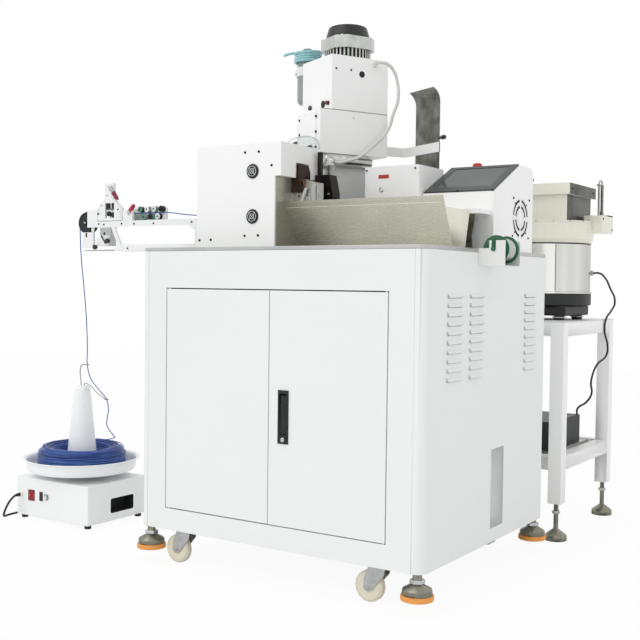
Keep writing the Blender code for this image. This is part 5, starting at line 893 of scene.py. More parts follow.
def housing_part(middle, normal):
    # The deflector plate in front, the grille's slots darkened with painted shade, or the sheet's own coat.
    if middle.y < 0.3915 and middle.z < 0.9787:
        return 1
    in_fan = math.hypot(middle.y - GRILLE[0], middle.z - GRILLE[1]) < 0.0575 and middle.x > 0.855
    if in_fan and (middle.x < 0.8915 or (abs(normal.x) < 0.5)):
        return 2
    return 0


def panel_part(middle, normal):
    # The glass is the sunk face, 30 mm up from the panel's foot and 16 mm down from its head.
    away = Vector((middle.y - PANEL_FOOT[0], middle.z - PANEL_FOOT[1]))
    height = -away.x * lean.y + away.y * lean.x
    return 1 if 0.0020 < height < 0.0036 and normal.z > 0.8 else 0


rework("control_housing", [bright_coat, deflector_steel, dark_gap_and_shade], housing_part, angle=5)
rework("touch_panel", [bezel_grey, screen_glass], panel_part)
desk = [screw(screw_black, 0.0033, (x, HOUSING_FRONT, z)) for x, z in HOUSING_SCREWS]
desk += [screw(screw_black, 0.0033, (HOUSING_SIDE, y, z), "X", 1) for y, z in SIDE_SCREWS]
peg = turned(knob_black, [(0.0050, -0.0005), (0.0050, 0.0080), (0.0072, 0.0095), (0.0072, 0.0200), (0.0060, 0.0215)],
             (0.8381, 0.358, 0.9112), "Y", 20, side=-1)
rear_knob = turned(knob_black, [(0.0045, -0.0005), (0.0045, 0.0050), (0.0070, 0.0060), (0.0070, 0.0180),
                                (0.0058, 0.0200)], (0.884, 0.667, 1.0974), "Y", 20)
desk += [peg, rear_knob]
for radius in (0.0180, 0.0255, 0.0405, 0.0560):
    desk.append(turned(white_coat, [(radius - 0.0012, -0.0004), (radius + 0.0012, -0.0004), (radius + 0.0009, 0.0012),
                                    (radius - 0.0009, 0.0012)], (HOUSING_SIDE, *GRILLE), "X", 40, closed=True))
for y, z in ((-0.040, -0.040), (0.040, -0.040), (-0.040, 0.040), (0.040, 0.040)):
    desk.append(screw(screw_black, 0.0028, (HOUSING_SIDE, GRILLE[0] + y, GRILLE[1] + z), "X", 1))
gather("control_housing_trim", "machine", desk)
rework("housing_fan", [screw_black])

# Stop button
# A red mushroom head on a black collar, turned from glossy plastic.

# Moulded red plastic: glossy, with a soft highlight.
stop_red = finish("glossy red plastic", "#C2201B", 0.20, shade=0.05, patch=0.01)
mushroom = turned(stop_red, [(0.0080, -0.0115), (0.0080, 0.0045), (0.0128, 0.0047), (0.0138, 0.0060), (0.0140, 0.0085),
                             (0.0138, 0.0115), (0.0126, 0.0142), (0.0104, 0.0160), (0.0070, 0.0171), (0.0030, 0.0174)],
                  (0.750, 0.602, 1.128), sides=40)
gather("stop_button_head", "stop_button", [mushroom], replaced=("stop_button",), angle=50)

# Solder spool
# A U-shaped bracket of white sheet on the cabinet's right side holds the axle of a green plastic spool
# with bright solder wire wound round its core.

SPOOL = (0.942, 0.337, 0.884)
SOLDER_TURNS = 28
TURN_WIDTH = 0.00206       # of one turn of solder wire, side by side on the core
# Moulded green plastic: deep, half glossy.
spool_green = finish("green spool plastic", "#2B6A4B", 0.32, shade=0.08, patch=0.02)
# Drawn tin solder wire: bright grey.
solder_wire = finish("tin solder wire", "#BFC1BE", 0.25, 1.0, shade=0.10, patch=0.006)
rework("spool_bracket", [bracket_white])
spool_parts = []
for side in (-1, 1):
    spool_parts.append(turned(spool_green, [(0.0080, 0.0290), (0.0330, 0.0290), (0.0352, 0.0294), (0.0360, 0.0305),
                                            (0.0360, 0.0325), (0.0350, 0.0330), (0.0330, 0.0322), (0.0110, 0.0322),
                                            (0.0100, 0.0330), (0.0080, 0.0330)],
                              SPOOL, "Y", 48, closed=True, side=side))
wound = []
for number in range(SOLDER_TURNS):
    wound.append((0.0278, -0.0289 + number * TURN_WIDTH))
    wound.append((0.0289, -0.0279 + number * TURN_WIDTH))
wound.append((0.0278, 0.0290))
spool_parts.append(turned(solder_wire, wound, SPOOL, "Y", 40))
spool_parts.append(turned(spool_green, [(0.0052, -0.0530), (0.0059, -0.0524), (0.0059, 0.0524), (0.0052, 0.0530)],
                          SPOOL, "Y", 24))
gather("solder_spool_dressed", "solder_spool", spool_parts, replaced=("solder_spool",))

# Feed arm
# A folded white sheet arm screwed to the feed enclosure's left side. It carries the straightener's
# tower and its bank of ball-race rollers, a sensor box, cam levers and the encoder wheel.

ARM_FRONT = 0.195
BANK_TURN = 0.43150        # twice the middle, in depth, about which the bank is turned to face the front
ROLLER_STEP = 0.0285       # from one roller of a row to the next
# Hardened roller steel: dark rim and bright race.
roller_steel = finish("hardened roller steel", "#7D7F7D", 0.25, 1.0, shade=0.25, patch=0.01)
# Moulded seal of a ball race: grey-green, satin.
seal_green = finish("green bearing seal", "#5E8F7C", 0.35, shade=0.12, patch=0.01)
# Aluminium bracket: bead-blasted, pale.
blasted_aluminium = finish("bead-blasted aluminium", "#BDBFBC", 0.40, 0.9, shade=0.08, patch=0.02)


def arm_part(middle, normal):
    # By place: the eye bar and its bracket, the tower's rollers, the roller bank, the clamp blocks, the plate.
    x, y, z = middle
    if x < -0.4605 or (x < -0.295 and z < 0.8960 and y > 0.2100):
        return 5
    if -0.330 < x < -0.307 and y > 0.2065 and 0.980 < z < 1.045:
        return 1
    if y > 0.2091 and x > -0.215 and 0.9800 < z < 1.022:
        return (2, 3, 1)[int((x + 0.25) / ROLLER_STEP) % 3]
    if -0.362 < x < -0.315 and y > 0.2002 and 0.9292 < z < 0.9605:
        return 4
    if -0.375 < x < -0.321 and y > 0.2002 and 0.9020 < z < 0.9300:
        return 4
    return 0


arm = rework("feed_arm", [white_coat, roller_steel, seal_green, screw_black, blasted_aluminium, zinc_plate], arm_part)
for vertex in arm.data.vertices:
    # The bank is turned round, the eye's end is drawn in under the wheel, and the sensor box is set back.
    x, y, z = vertex.co - HOME.translation
    if -0.2465 < x < -0.1055 and z > 0.9785 and 0.2009 < y < 0.2215:
        vertex.co.y = HOME.translation.y + BANK_TURN - y
    if x < -0.4405:
        vertex.co.x += 0.0265
    if -0.4345 < x < -0.3855 and y < 0.1790:
        vertex.co.y = HOME.translation.y + 0.1925
bpy.context.view_layer.objects.active = arm
arm.select_set(True)
bpy.ops.object.mode_set(mode="EDIT")
bpy.ops.mesh.select_all(action="SELECT")
bpy.ops.mesh.normals_make_consistent(inside=False)
bpy.ops.object.mode_set(mode="OBJECT")
arm.select_set(False)

LOWER_ROW, UPPER_ROW = 0.9906, 1.0134
arm_parts = [block(white_coat, (-0.2620, 0.1962, 0.9785), (-0.2220, 0.2060, 1.0130), 0.0008)]
for x, z in ((-0.3648, 0.9713), (-0.3418, 0.9693), (-0.2655, 0.9698), (-0.2131, 0.9687), (-0.1330, 0.9685),
             (-0.3672, 1.0031), (0.0180, 0.9690), (0.1020, 0.9690), (0.0700, 0.8935), (-0.2400, 0.8935)):
    arm_parts.append(screw(screw_black, 0.0030, (x, ARM_FRONT, z)))
for x, z, shell in ((-0.188, LOWER_ROW, seal_green), (-0.160, LOWER_ROW, screw_black), (-0.130, LOWER_ROW, ring_grey),
                    (-0.203, UPPER_ROW, seal_green), (-0.174, UPPER_ROW, white_acetal), (-0.146, UPPER_ROW, ring_grey),
                    (-0.117, UPPER_ROW, screw_black)):
    arm_parts.append(turned(shell, [(0.0093, 0.0), (0.0093, 0.0014), (0.0084, 0.0020), (0.0066, 0.0020),
                                    (0.0060, 0.0010), (0.0046, 0.0010), (0.0042, 0.0024), (0.0022, 0.0026)],
                            (x, 0.2107, z), "Y", 24, side=-1))
    arm_parts.append(screw(screw_black, 0.0026, (x, 0.2087, z)))
for x, z in ((-0.3185, 0.9171), (-0.3728, 0.8981)):
    arm_parts.append(turned(knob_black, [(0.0035, -0.0010), (0.0035, 0.0030), (0.0075, 0.0040), (0.0078, 0.0110),
                                         (0.0060, 0.0130)], (x, ARM_FRONT, z), "Y", 20, side=-1))
arm_parts += [block(zinc_plate, (-0.3560, 0.1928, 0.9360), (-0.3080, 0.1952, 0.9580), 0.0005),
              turned(dark_gap_and_shade, [(0.0042, 0.0), (0.0042, 0.0006), (0.0036, 0.0008)], (-0.3374, 0.1922, 0.9406),
                     "Y", 20),
              slab(screw_black, [(-0.3520, 0.9340), (-0.3490, 0.9350), (-0.3290, 0.9080), (-0.3320, 0.9070)],
                   0.1905, 0.1925, "XZ"),
              block(dark_gap_and_shade, (-0.4196, 0.1918, 0.9300), (-0.4136, 0.1930, 0.9440), 0.0002, 1),
              block(dark_gap_and_shade, (-0.3700, 0.1948, 0.9790), (-0.2660, 0.1958, 0.9802), 0.0001, 1),
              block(screw_black, (-0.3378, 0.2000, 1.0190), (-0.3240, 0.2060, 1.0355), 0.0006),
              block(screw_black, (-0.3140, 0.2000, 1.0190), (-0.2992, 0.2060, 1.0355), 0.0006),
              block(roller_steel, (-0.3378, 0.2030, 1.0140), (-0.2992, 0.2060, 1.0190), 0.0004),
              *[turned(screw_black, [(0.0080, 0.0), (0.0086, 0.0010), (0.0086, 0.0050), (0.0080, 0.0060)],
                       (x, 0.2000, z), "Y", 20) for x, z in ((-0.3270, 1.0030), (-0.3090, 0.9990))],
              screw(bright_chrome, 0.0030, (-0.3550, 0.1960, 1.0300)),
              screw(screw_black, 0.0026, (-0.2820, 0.1960, 1.0150)),
              screw(bright_chrome, 0.0026, (-0.3300, 0.1960, 1.0600)),
              screw(bright_chrome, 0.0026, (-0.3250, 0.1960, 1.0880))]
gather("feed_arm_fittings", "machine", arm_parts)

# Encoder wheel
# A black rubber-tyred measuring wheel with a shallow groove, on a bright pin at the arm's left end.

# Nitrile rubber: matt black, slightly worn grey.
wheel_rubber = finish("worn black rubber", "#191A1A", 0.62, shade=0.15, patch=0.01)
wheel = turned(wheel_rubber, [(0.0046, 0.0003), (0.0070, 0.0003), (0.0072, 0.0040), (0.0270, 0.0040), (0.0280, 0.0030),
                              (0.0325, 0.0030), (0.0335, 0.0042), (0.0335, 0.0115), (0.0321, 0.0145), (0.0335, 0.0175),
                              (0.0335, 0.0270), (0.0325, 0.0282), (0.0280, 0.0282), (0.0270, 0.0270), (0.0080, 0.0270),
                              (0.0070, 0.0282), (0.0046, 0.0282)], (-0.432, 0.2015, 0.977), "Y", 64, closed=True)
gather("encoder_wheel_dressed", "encoder_wheel", [wheel], replaced=("encoder_wheel",))

# Cam levers
# Two crimson moulded levers that clamp the straightener's halves, each on a steel pin.

# Moulded polyamide: crimson and glossy.
crimson = finish("crimson moulded plastic", "#B4163A", 0.25, shade=0.06, patch=0.01)
# The same polyamide, painted darker as painted shade.
shaded_crimson = finish("shaded crimson moulded plastic", "#7E1230", 0.28, shade=0.08, patch=0.01)
# Each lever is drawn to its own length from its pin, and cut across where its steel hub ends.
for name, pin, colour, reach, hub in (("cam_lever_tower", (-0.308, 1.079), shaded_crimson, 1.20, 0.0135),
                                      ("cam_lever_rollers", (-0.236, 1.004), crimson, 0.88, 0.0060)):
    lever = rework(name, [colour, zinc_plate], edge=0.0012, sides=3)
    middle = HOME.translation + Vector((pin[0], 0.190, pin[1]))
    tip = max((vertex.co - middle for vertex in lever.data.vertices), key=lambda away: math.hypot(away.x, away.z))
    ahead = Vector((tip.x, 0.0, tip.z)).normalized()
    for vertex in lever.data.vertices:
        along = (vertex.co - middle).dot(ahead)
        vertex.co += ahead * along * (reach - 1.0)
    bpy.context.view_layer.objects.active = lever
    lever.select_set(True)
    bpy.ops.object.mode_set(mode="EDIT")
    bpy.ops.mesh.select_all(action="SELECT")
    bpy.ops.mesh.bisect(plane_co=middle + ahead * hub, plane_no=ahead)
    bpy.ops.object.mode_set(mode="OBJECT")
    lever.select_set(False)
    for face in lever.data.polygons:
        face.material_index = 1 if (face.center - middle).dot(ahead) < hub else 0

# Pay-off box
# A white sheet-steel box on four rubber feet with a grip hole in its right side. A lit red rocker switch,
# a small slide switch and a speed knob sit on its front.

PAY_MIDDLE = (-0.533, 0.290)
# Smooth paint of the box, a little greyer than the cabinet's coat.
box_coat = finish("smooth white paint", "#F8F9F9", 0.38, shade=0.012, patch=0.20, grain=0.002, relief=0.00001)
# Rubber feet and slide switch: matt black.
trim_black = finish("matt black trim", "#1F2023", 0.55, shade=0.10, patch=0.01)
# Red rocker: translucent plastic, dark at its ends.
rocker_red = finish("translucent red plastic", "#B01E28", 0.16, shade=0.20, patch=0.010)
# Moulded frame round the rocker: dark red, satin.
rocker_frame = finish("dark red switch frame", "#6E1A1F", 0.35, shade=0.06, patch=0.01)
# Moulded knob skirt: mid grey, satin.
skirt_grey = finish("grey knob skirt", "#8D9194", 0.40, shade=0.06, patch=0.005)


def pay_part(middle, normal):
    # Feet and slide switch, the gland on the front, the grip hole darkened with painted shade, or the box's own paint.
    if middle.z < 0.0119:
        return 1
    if middle.y < 0.1564:
        return 1 if middle.x > -0.640 else 3
    in_grip = 0.2575 < middle.y < 0.3645 and 0.0355 < middle.z < 0.0845 and middle.x > -0.4135
    return 2 if in_grip and (abs(normal.x) < 0.5 or middle.x < -0.40) else 0


rework("payoff_housing", [box_coat, trim_black, dark_gap_and_shade, white_acetal], pay_part, angle=5)
upright = block(rocker_frame, (-0.6425, 0.1548, 0.0640), (-0.6405, 0.1572, 0.0985), 0.0003, 1)
crosspiece = block(rocker_frame, (-0.6425, 0.1548, 0.0970), (-0.6135, 0.1572, 0.0990), 0.0003, 1)
surround = [upright, copied(upright, (0.0270, 0.0, 0.0)), crosspiece, copied(crosspiece, (0.0, 0.0, -0.0335))]
gather("rocker_surround", "machine", surround)
rework("rocker_switch", [rocker_red], edge=0.0006)
rework("speed_knob", [skirt_grey, white_acetal], lambda middle, normal: 1 if normal.y < -0.9 else 0)
knob_line = block(dark_gap_and_shade, (-0.5576, 0.1489, 0.0850), (-0.5564, 0.1496, 0.0915), 0.0001, 1)
gather("speed_knob_line", "speed_knob", [knob_line])
relief_sleeve = turned(trim_black, [(0.0056, 0.0), (0.0052, -0.0020), (0.0060, -0.0024), (0.0060, -0.0040),
                                    (0.0050, -0.0044), (0.0050, -0.0064), (0.0057, -0.0068), (0.0057, -0.0084),
                                    (0.0047, -0.0088), (0.0047, -0.0108), (0.0053, -0.0112), (0.0053, -0.0128),
                                    (0.0044, -0.0132), (0.0042, -0.0165), (0.0038, -0.0185)],
                       (-0.677, 0.1495, 0.079), "Y", 20)
gather("mains_cord_sleeve", "machine", [relief_sleeve])

# Turntable
# A spun white enamelled dish on the box's motor boss, with a rolled rim.

# White enamel: glossy, with a faint cool shade.
dish_enamel = finish("white enamel", "#F8FAFB", 0.22, shade=0.02, patch=0.10, relief=0.00001)
dish = turned(dish_enamel, [(0.0235, 0.1580), (0.1570, 0.1580), (0.1650, 0.1592), (0.1715, 0.1622), (0.1755, 0.1672),
                            (0.1778, 0.1750), (0.1792, 0.1860), (0.1806, 0.1930), (0.1835, 0.1968), (0.1880, 0.1990),
                            (0.1922, 0.2000), (0.1930, 0.2014), (0.1922, 0.2026), (0.1900, 0.2030), (0.1850, 0.2020),
                            (0.1805, 0.1990), (0.1780, 0.1945), (0.1764, 0.1865), (0.1748, 0.1765), (0.1722, 0.1700),
                            (0.1685, 0.1655), (0.1635, 0.1625), (0.0235, 0.1615)], (*PAY_MIDDLE, 0.0), sides=96,
              closed=True)
gather("turntable_dish", "turntable", [dish], replaced=("turntable",))

# Wire coil
# Some 180 m of the blue wire, wound loosely in a ring on the dish, strand over strand.

COIL_LINE = [(0.1270, 0.1638), (0.1390, 0.1690), (0.1440, 0.1790), (0.1447, 0.1930), (0.1440, 0.2080),
             (0.1415, 0.2200), (0.1360, 0.2320), (0.1280, 0.2400), (0.1180, 0.2430), (0.1060, 0.2400),
             (0.0940, 0.2320), (0.0820, 0.2210), (0.0720, 0.2090), (0.0660, 0.1960), (0.0650, 0.1800)]
COIL_OUT, COIL_HIGH = 0.1462, 0.2450
FRONT_SAG = 0.0085         # how much lower the coil lies on its slack side
CAMERA_SIDE = math.radians(-44)
STRAND_R = 0.0016
PITCH = 0.0025             # from one strand to the next along the coil's outline
LOOP_POINTS = 12
# The same insulation deeper in the coil, painted darker as painted shade.
dark_insulation = finish("shaded blue PVC insulation", "#2B458A", 0.36, shade=0.15, patch=0.02, grain=0.002)
# The same insulation on the strands outside, painted lighter as painted light.
coil_blue = finish("wound blue PVC insulation", "#4A6DB8", 0.30, shade=0.14, patch=0.02, grain=0.002, relief=0.00001)
# The core lies inside the strands, and so low at its top that the side that sags covers it too.
core_line = [(radius + (STRAND_R if radius < 0.1 else -STRAND_R),
              height - (FRONT_SAG + 0.0012) * max(0.0, (height - 0.1700) / 0.0730)) for radius, height in COIL_LINE]
core = turned(dark_insulation, core_line, (*PAY_MIDDLE, 0.0), sides=64, closed=True)
gather("wire_coil_core", "turntable", [core], replaced=("wire_coil",))

edge_line = []
for (radius, height), (later, higher) in zip(COIL_LINE, COIL_LINE[1:]):
    count = max(1, round(math.hypot(later - radius, higher - height) / PITCH))
    for step in range(count):
        edge_line.append((radius + (later - radius) * step / count, height + (higher - height) * step / count))
winding = bpy.data.curves.new("wire_coil_strands", "CURVE")
winding.dimensions = "3D"
winding.bevel_depth = 0.0013
winding.bevel_resolution = 1
winding.resolution_u = 4
for number, (radius, height) in enumerate(edge_line):
    loop = winding.splines.new("BEZIER")
    loop.bezier_points.add(LOOP_POINTS - 1)
    loop.use_cyclic_u = True
    for step, spot in enumerate(loop.bezier_points):
        angle = math.tau * (step + 0.37 * number) / LOOP_POINTS
        stray = 0.0022 * math.sin(angle * 2 + 1.7 * number) + 0.0014 * math.sin(3 * angle + 0.9 * number)
        sag = FRONT_SAG * max(0.0, (height - 0.2000) / 0.0430) * (1 + math.cos(angle - CAMERA_SIDE)) / 2
        lift = 0.0024 * math.sin(angle + 2.3 * number) + 0.0014 * math.sin(2 * angle + 1.9 * number) - sag
        inner = min(radius + stray, COIL_OUT - 0.0018)
        spot.co = (HOME.translation.x + PAY_MIDDLE[0] + inner * math.cos(angle),
                   HOME.translation.y + PAY_MIDDLE[1] + inner * math.sin(angle),
                   min(height + lift, COIL_HIGH - 0.0010))
        spot.handle_left_type = spot.handle_right_type = "AUTO"
winding.materials.append(coil_blue)
winding.materials.append(dark_insulation)
# Some strands take the darker copy, as painted shade among the turns.
for number, loop in enumerate(winding.splines):
    loop.material_index = 1 if number % 5 in (1, 3) and number % 3 else 0
strands = bpy.data.objects.new("wire_coil_strands", winding)
bpy.context.scene.collection.objects.link(strands)
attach(strands, "turntable")

# The strand that lifts off the coil towards the guide eyes.
TAIL = [(-0.4760, 0.3866, 0.2602), (-0.4830, 0.3905, 0.2585), (-0.4960, 0.3960, 0.2540), (-0.5200, 0.4000, 0.2475),
        (-0.5480, 0.3985, 0.2445), (-0.5700, 0.3925, 0.2435)]
tail = strand("wire_coil_tail", [at(*point) for point in TAIL], STRAND_R, coil_blue, "turntable")

# Cone and guide rods
# A tall white enamelled cone stands still in the middle of the dish. Two bent wire rods on its top end in
# porcelain-bushed eyes that lead the wire up.

# Drawn stainless wire: thin and bright.
drawn_wire = finish("drawn stainless wire", "#A7A8A5", 0.22, 1.0, shade=0.12, patch=0.01)
cone = turned(dish_enamel, [(0.0195, 0.1583), (0.0200, 0.1640), (0.0535, 0.1640), (0.0540, 0.1650), (0.0538, 0.1678),
                            (0.0530, 0.1690), (0.0400, 0.2990), (0.0290, 0.4080), (0.0268, 0.4300), (0.0258, 0.4350),
                            (0.0235, 0.4395), (0.0195, 0.4422), (0.0145, 0.4430), (0.0040, 0.4431)],
              (*PAY_MIDDLE, 0.0), sides=64)
eyes = []
for away, height in ((0.023, 0.512), (0.112, 0.402)):
    eyes.append(turned(drawn_wire, [(0.0046, -0.0010), (0.0052, -0.0018), (0.0064, -0.0018), (0.0074, -0.0008),
                                    (0.0074, 0.0008), (0.0064, 0.0018), (0.0052, 0.0018), (0.0046, 0.0010)],
                       (PAY_MIDDLE[0] + away, PAY_MIDDLE[1], height), "Z", 32, closed=True))
gather("payoff_cone_dressed", "machine", [cone] + eyes, replaced=("payoff_cone",), angle=40)
TALL_ROD = [(-0.006, 0.439), (-0.006, 0.451), (-0.009, 0.469), (-0.010, 0.494), (-0.004, 0.509), (0.017, 0.512)]
LOW_ROD = [(0.007, 0.439), (0.011, 0.448), (0.030, 0.446), (0.070, 0.420), (0.106, 0.403)]
for rod_name, route in (("tall_guide_rod", TALL_ROD), ("low_guide_rod", LOW_ROD)):
    rod = strand(rod_name, [at(PAY_MIDDLE[0] + away, PAY_MIDDLE[1], height) for away, height in route], 0.0018,
                 drawn_wire, "machine", 3)

# Feeder stand
# A welded frame of 42 mm square steel tube, powder coated white, with a steel top, four slats below and
# adjustable feet.

STAND_LEG_X = (0.541, 0.889)
STAND_LEG_Y = (0.926, 1.379)


def stand_part(middle, normal):
    # The feet below the legs, the slats between them, or the tubes' own coat.
    if middle.z < 0.1148:
        return 1
    return 2 if 0.2495 < middle.z < 0.2603 and 0.5625 < middle.x < 0.8675 and 0.948 < middle.y < 1.357 else 0


rework("feeder_stand", [bright_coat, foot_nickel, blasted_aluminium], stand_part)
cap = turned(zinc_plate, [(0.0078, 0.0820), (0.0120, 0.0822), (0.0125, 0.0835), (0.0125, 0.0905), (0.0120, 0.0918),
                          (0.0078, 0.0920)], (STAND_LEG_X[0], STAND_LEG_Y[0], 0.0), sides=6, closed=True)
across, deep = STAND_LEG_X[1] - STAND_LEG_X[0], STAND_LEG_Y[1] - STAND_LEG_Y[0]
caps = [cap] + [copied(cap, offset) for offset in ((0.0, deep, 0.0), (across, 0.0, 0.0), (across, deep, 0.0))]
gather("stand_foot_nuts", "machine", caps)

# Feeder drive
# The vibratory drive: a drum of brushed stainless sheet with one lapped seam, over a black cast foot on
# four rubber shoes with white washers.

DRIVE = (0.747, 1.160)
DRUM_R = 0.1500
SEAM_AT = math.radians(-56)
SHOE_AWAY = 0.085          # of a rubber shoe from the drive's middle, to each side
# Brushed stainless drum, lines drawn round it: pale, cloudy.
drum_steel = finish("brushed stainless drum", "#E4E4E0", 0.24, 1.0, shade=0.03, patch=0.20, grain=0.0018,
                    relief=0.00001, stretch=(1.0, 1.0, 0.05), uneven=0.15)
# Broad upright streaks of light and shade round the drum, as bent bright sheet mirrors a room, by bearing.
tree = drum_steel.node_tree
away = node(tree, "ShaderNodeMapping", {"Vector": node(tree, "ShaderNodeTexCoord").outputs["Object"],
                                        "Location": (-HOME.translation.x - DRIVE[0],
                                                     -HOME.translation.y - DRIVE[1], 0.0)})
parts = node(tree, "ShaderNodeSeparateXYZ", {"Vector": away.outputs["Vector"]})
bearing = node(tree, "ShaderNodeMath", {0: parts.outputs["Y"], 1: parts.outputs["X"]}, operation="ARCTAN2")
share = node(tree, "ShaderNodeMapRange", {"Value": bearing.outputs["Value"], "From Min": -math.pi,
                                          "From Max": math.pi})
band(drum_steel, share.outputs["Result"], [(0.0, 0.90), (0.15, 1.00), (0.25, 0.95), (0.285, 1.10), (0.340, 1.14),
                                           (0.348, 0.82), (0.375, 0.94), (0.400, 0.84), (0.430, 0.93), (0.470, 0.74),
                                           (0.520, 0.60), (0.60, 0.85), (1.0, 0.90)])
# Black cast foot: textured and half matt.
cast_black = finish("black cast foot", "#1A1C1C", 0.50, shade=0.12, patch=0.04, grain=0.003, relief=0.00008)
drum = turned(drum_steel, [(0.1490, 0.7743), (0.1500, 0.7753), (0.1500, 0.9290), (0.1490, 0.9303)], (*DRIVE, 0.0),
              sides=96)
collar = turned(drum_steel, [(0.1530, 0.7683), (0.1540, 0.7690), (0.1540, 0.7736), (0.1530, 0.7743)], (*DRIVE, 0.0),
                sides=96)
foot_ring = turned(cast_black, [(0.1510, 0.7303), (0.1530, 0.7320), (0.1530, 0.7670), (0.1520, 0.7684)], (*DRIVE, 0.0),
                   sides=96)
bottom = block(cast_black, (0.6370, 1.0420, 0.6963), (0.8650, 1.2700, 0.7304), 0.0060, 3)
drive_parts = [drum, collar, foot_ring, bottom]
shoe = turned(trim_black, [(0.0165, 0.6824), (0.0180, 0.6840), (0.0180, 0.6940), (0.0165, 0.6966)],
              (DRIVE[0] - SHOE_AWAY, DRIVE[1] - SHOE_AWAY, 0.0), sides=28)
washer = turned(white_acetal, [(0.0181, 0.6900), (0.0225, 0.6902), (0.0225, 0.6930), (0.0181, 0.6932)],
                (DRIVE[0] - SHOE_AWAY, DRIVE[1] - SHOE_AWAY, 0.0), sides=28, closed=True)
drive_parts += [shoe, washer]
for x, y in ((0.0, 2 * SHOE_AWAY), (2 * SHOE_AWAY, 0.0), (2 * SHOE_AWAY, 2 * SHOE_AWAY)):
    drive_parts += [copied(piece, (x, y, 0.0)) for piece in (shoe, washer)]
seam = block(dark_gap_and_shade, (-0.0010, -0.0007, 0.7780), (0.0010, 0.0006, 0.9280), 0.0002, 1)
seam.data.transform(Matrix.Translation((DRIVE[0] + DRUM_R * math.cos(SEAM_AT),
                                        DRIVE[1] + DRUM_R * math.sin(SEAM_AT), 0.0))
                    @ Matrix.Rotation(SEAM_AT + math.pi / 2, 4, "Z"))
drive_parts.append(seam)
nozzle = turned(zinc_plate, [(0.0085, -0.0240), (0.0085, -0.0180), (0.0102, -0.0175), (0.0102, -0.0085),
                             (0.0080, -0.0080), (0.0076, -0.0020), (0.0062, -0.0002)], FEEDER_GLAND, "X", 24)
drive_parts.append(nozzle)
gather("feeder_drive_dressed", "machine", drive_parts, replaced=("feeder_drive",))

# Feeder bowl
# A cream enamelled bowl with a square hopper of sheet in two bands, painted cream in front and bare stainless at its
# right, darkened there with painted shade, and a side box with two rods.

RIM_SCREWS = 18
# Cream enamel: warm, glossy.
cream_enamel = finish("cream enamel", "#F0EEE0", 0.28, shade=0.03, patch=0.10, relief=0.00001)
# Bare stainless sheet of the hopper, half mirror: painted dark and clouded, as painted shade and reflection on its
# right side.
hopper_steel = finish("clouded stainless hopper sheet", "#4C4F46", 0.30, 0.8, shade=0.45, patch=0.03, grain=0.0020,
                      relief=0.00004, uneven=0.3)


def bowl_part(middle, normal):
    # The side box's rods, the hopper's right side, or the enamel.
    x, y, z = middle
    if 0.915 < x < 0.921 and z > 1.0267 and y > 1.18:
        return 2
    in_tier = z > 1.0050 and abs(x - 0.747) < 0.1285 and abs(y - 1.160) < 0.1285
    if in_tier and normal.x > 0.7 and x > 0.80:
        return 1
    return 0


rework("feeder_bowl", [cream_enamel, hopper_steel, drawn_wire], bowl_part, angle=20)
bowl_parts = [turned(dark_gap_and_shade, [(0.1462, 0.9306), (0.1500, 0.9308), (0.1500, 0.9328), (0.1480, 0.9332)],
                     (*DRIVE, 0.0), sides=96, closed=True),
              turned(cream_enamel, [(0.1571, 1.0005), (0.1590, 1.0012), (0.1590, 1.0052), (0.1571, 1.0056)],
                     (*DRIVE, 0.0), sides=96, closed=True)]
rim_screw = screw(bright_chrome, 0.0026, (DRIVE[0] + 0.1588, DRIVE[1], 1.0030), "X", 1)
bowl_parts.append(rim_screw)
bowl_parts += [copied(rim_screw, turn=math.tau * number / RIM_SCREWS, about=DRIVE) for number in range(1, RIM_SCREWS)]
bowl_parts += [screw(screw_black, 0.0030, (0.936, 1.184, 1.0150), "X", 1),
               screw(screw_black, 0.0030, (0.936, 1.276, 0.9820), "X", 1),
               screw(screw_black, 0.0030, (0.875, 1.060, 1.1060), "X", 1),
               screw(screw_black, 0.0030, (0.875, 1.260, 1.1060), "X", 1)]
gather("feeder_bowl_trim", "machine", bowl_parts)
box_fittings = [block(dark_gap_and_shade, (0.9050, 1.2420, 1.0262), (0.9350, 1.2880, 1.0300), 0.0006, 1),
                block(roller_steel, (0.9140, 1.1780, 1.1230), (0.9220, 1.2290, 1.1290), 0.0010),
                turned(drawn_wire, [(0.0034, 1.0262), (0.0036, 1.0270), (0.0036, 1.1240)], (0.918, 1.190, 0.0),
                       sides=20),
                turned(roller_steel, [(0.0056, 1.0262), (0.0060, 1.0270), (0.0060, 1.0400), (0.0046, 1.0420),
                                      (0.0046, 1.1240)], (0.918, 1.222, 0.0), sides=20)]
gather("side_box_fittings", "machine", box_fittings)
hoop = strand("side_box_hoop", [at(0.918, 1.190, 1.1340), at(0.918, 1.194, 1.1400), at(0.918, 1.206, 1.1420),
                                at(0.918, 1.218, 1.1390), at(0.918, 1.222, 1.1290)], 0.0024, drawn_wire, "machine", 3)

# Feeder controller
# A black moulded box with cooling ribs on the stand's lower shelf, with a small dial and a socket.

RIB_PITCH = 0.0180
# Moulded ABS: black, with a fine matt skin.
controller_black = finish("black moulded casing", "#1E2021", 0.45, shade=0.08, patch=0.05)
rework("feeder_controller", [controller_black])
rib = block(controller_black, (0.6400, 1.0192, 0.2780), (0.6460, 1.0212, 0.3380), 0.0006, 1)
ribs = [rib] + [copied(rib, (number * RIB_PITCH, 0.0, 0.0)) for number in range(1, 10)]
gather("controller_ribs", "machine", ribs)

# Mains plug
# A black moulded plug with three brass pins, resting beside its coiled cord behind the pay-off box.

# Moulded PVC: black, with a low sheen.
plug_black = finish("black moulded plug", "#191A1B", 0.42, shade=0.08, patch=0.01)
# Nickel-plated brass pins: warm and bright.
plated_brass = finish("plated brass pin", "#BDB79C", 0.25, 1.0, shade=0.05, patch=0.005)
plug_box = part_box("payoff_plug")
plug_face = plug_box[1].y - HOME.translation.y - 0.018
rework("payoff_plug", [plug_black, plated_brass], lambda middle, normal: 1 if middle.y > plug_face + 0.0006 else 0)

# Floor and light
# A white studio sweep, seen as plain white, with a broad soft light from the upper front left.

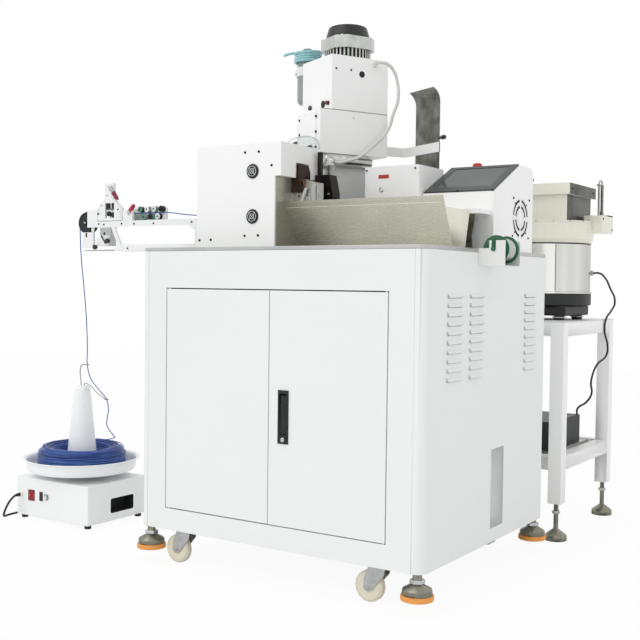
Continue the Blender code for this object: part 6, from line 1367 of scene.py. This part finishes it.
ROOM_LIGHT = 0.81          # what the white room gives, where it isn't looked at
FLOOR_GLOW = 0.93          # how far the floor is seen as plain white
KEY_LIGHT = 0.60
world = bpy.data.worlds.new("white studio")
bpy.context.scene.world = world
world.use_nodes = True
tree = world.node_tree
seen = node(tree, "ShaderNodeLightPath")
either = node(tree, "ShaderNodeMath", {0: seen.outputs["Is Camera Ray"], 1: seen.outputs["Is Transmission Ray"]},
              operation="MAXIMUM")
either = node(tree, "ShaderNodeMath", {0: either.outputs["Value"], 1: seen.outputs["Is Glossy Ray"]},
              operation="MAXIMUM")
dim = node(tree, "ShaderNodeBackground", {"Color": (1, 1, 1, 1), "Strength": ROOM_LIGHT})
plain = node(tree, "ShaderNodeBackground", {"Color": (1, 1, 1, 1), "Strength": 1.0})
mixed = node(tree, "ShaderNodeMixShader", {0: either.outputs["Value"], 1: dim.outputs["Background"],
                                           2: plain.outputs["Background"]})
tree.links.new(mixed.outputs["Shader"], tree.nodes["World Output"].inputs["Surface"])

bpy.ops.mesh.primitive_plane_add(size=14.0, location=(0.0, 0.0, 0.0))
floor = bpy.context.object
floor.name = "studio_floor"
floor.select_set(False)
white_floor = bpy.data.materials.new("white studio floor")
white_floor.use_nodes = True
tree = white_floor.node_tree
shader = tree.nodes["Principled BSDF"]
shader.inputs["Base Color"].default_value = linear("#F7F7F7")
shader.inputs["Roughness"].default_value = 0.9
seen = node(tree, "ShaderNodeLightPath")
glow = node(tree, "ShaderNodeEmission", {"Color": (1, 1, 1, 1), "Strength": 1.0})
share = node(tree, "ShaderNodeMath", {0: seen.outputs["Is Camera Ray"], 1: FLOOR_GLOW}, operation="MULTIPLY")
mixed = node(tree, "ShaderNodeMixShader", {0: share.outputs["Value"], 1: shader.outputs["BSDF"],
                                           2: glow.outputs["Emission"]})
tree.links.new(mixed.outputs["Shader"], tree.nodes["Material Output"].inputs["Surface"])
floor.data.materials.append(white_floor)

key = bpy.data.lights.new("broad soft key", "SUN")
key.energy = KEY_LIGHT
key.angle = math.radians(50)
key_light = bpy.data.objects.new("broad soft key", key)
bpy.context.scene.collection.objects.link(key_light)
key_light.rotation_euler = Vector((-0.35, -0.90, 0.85)).to_track_quat("Z", "Y").to_euler()

bpy.context.scene.view_settings.view_transform = "Standard"
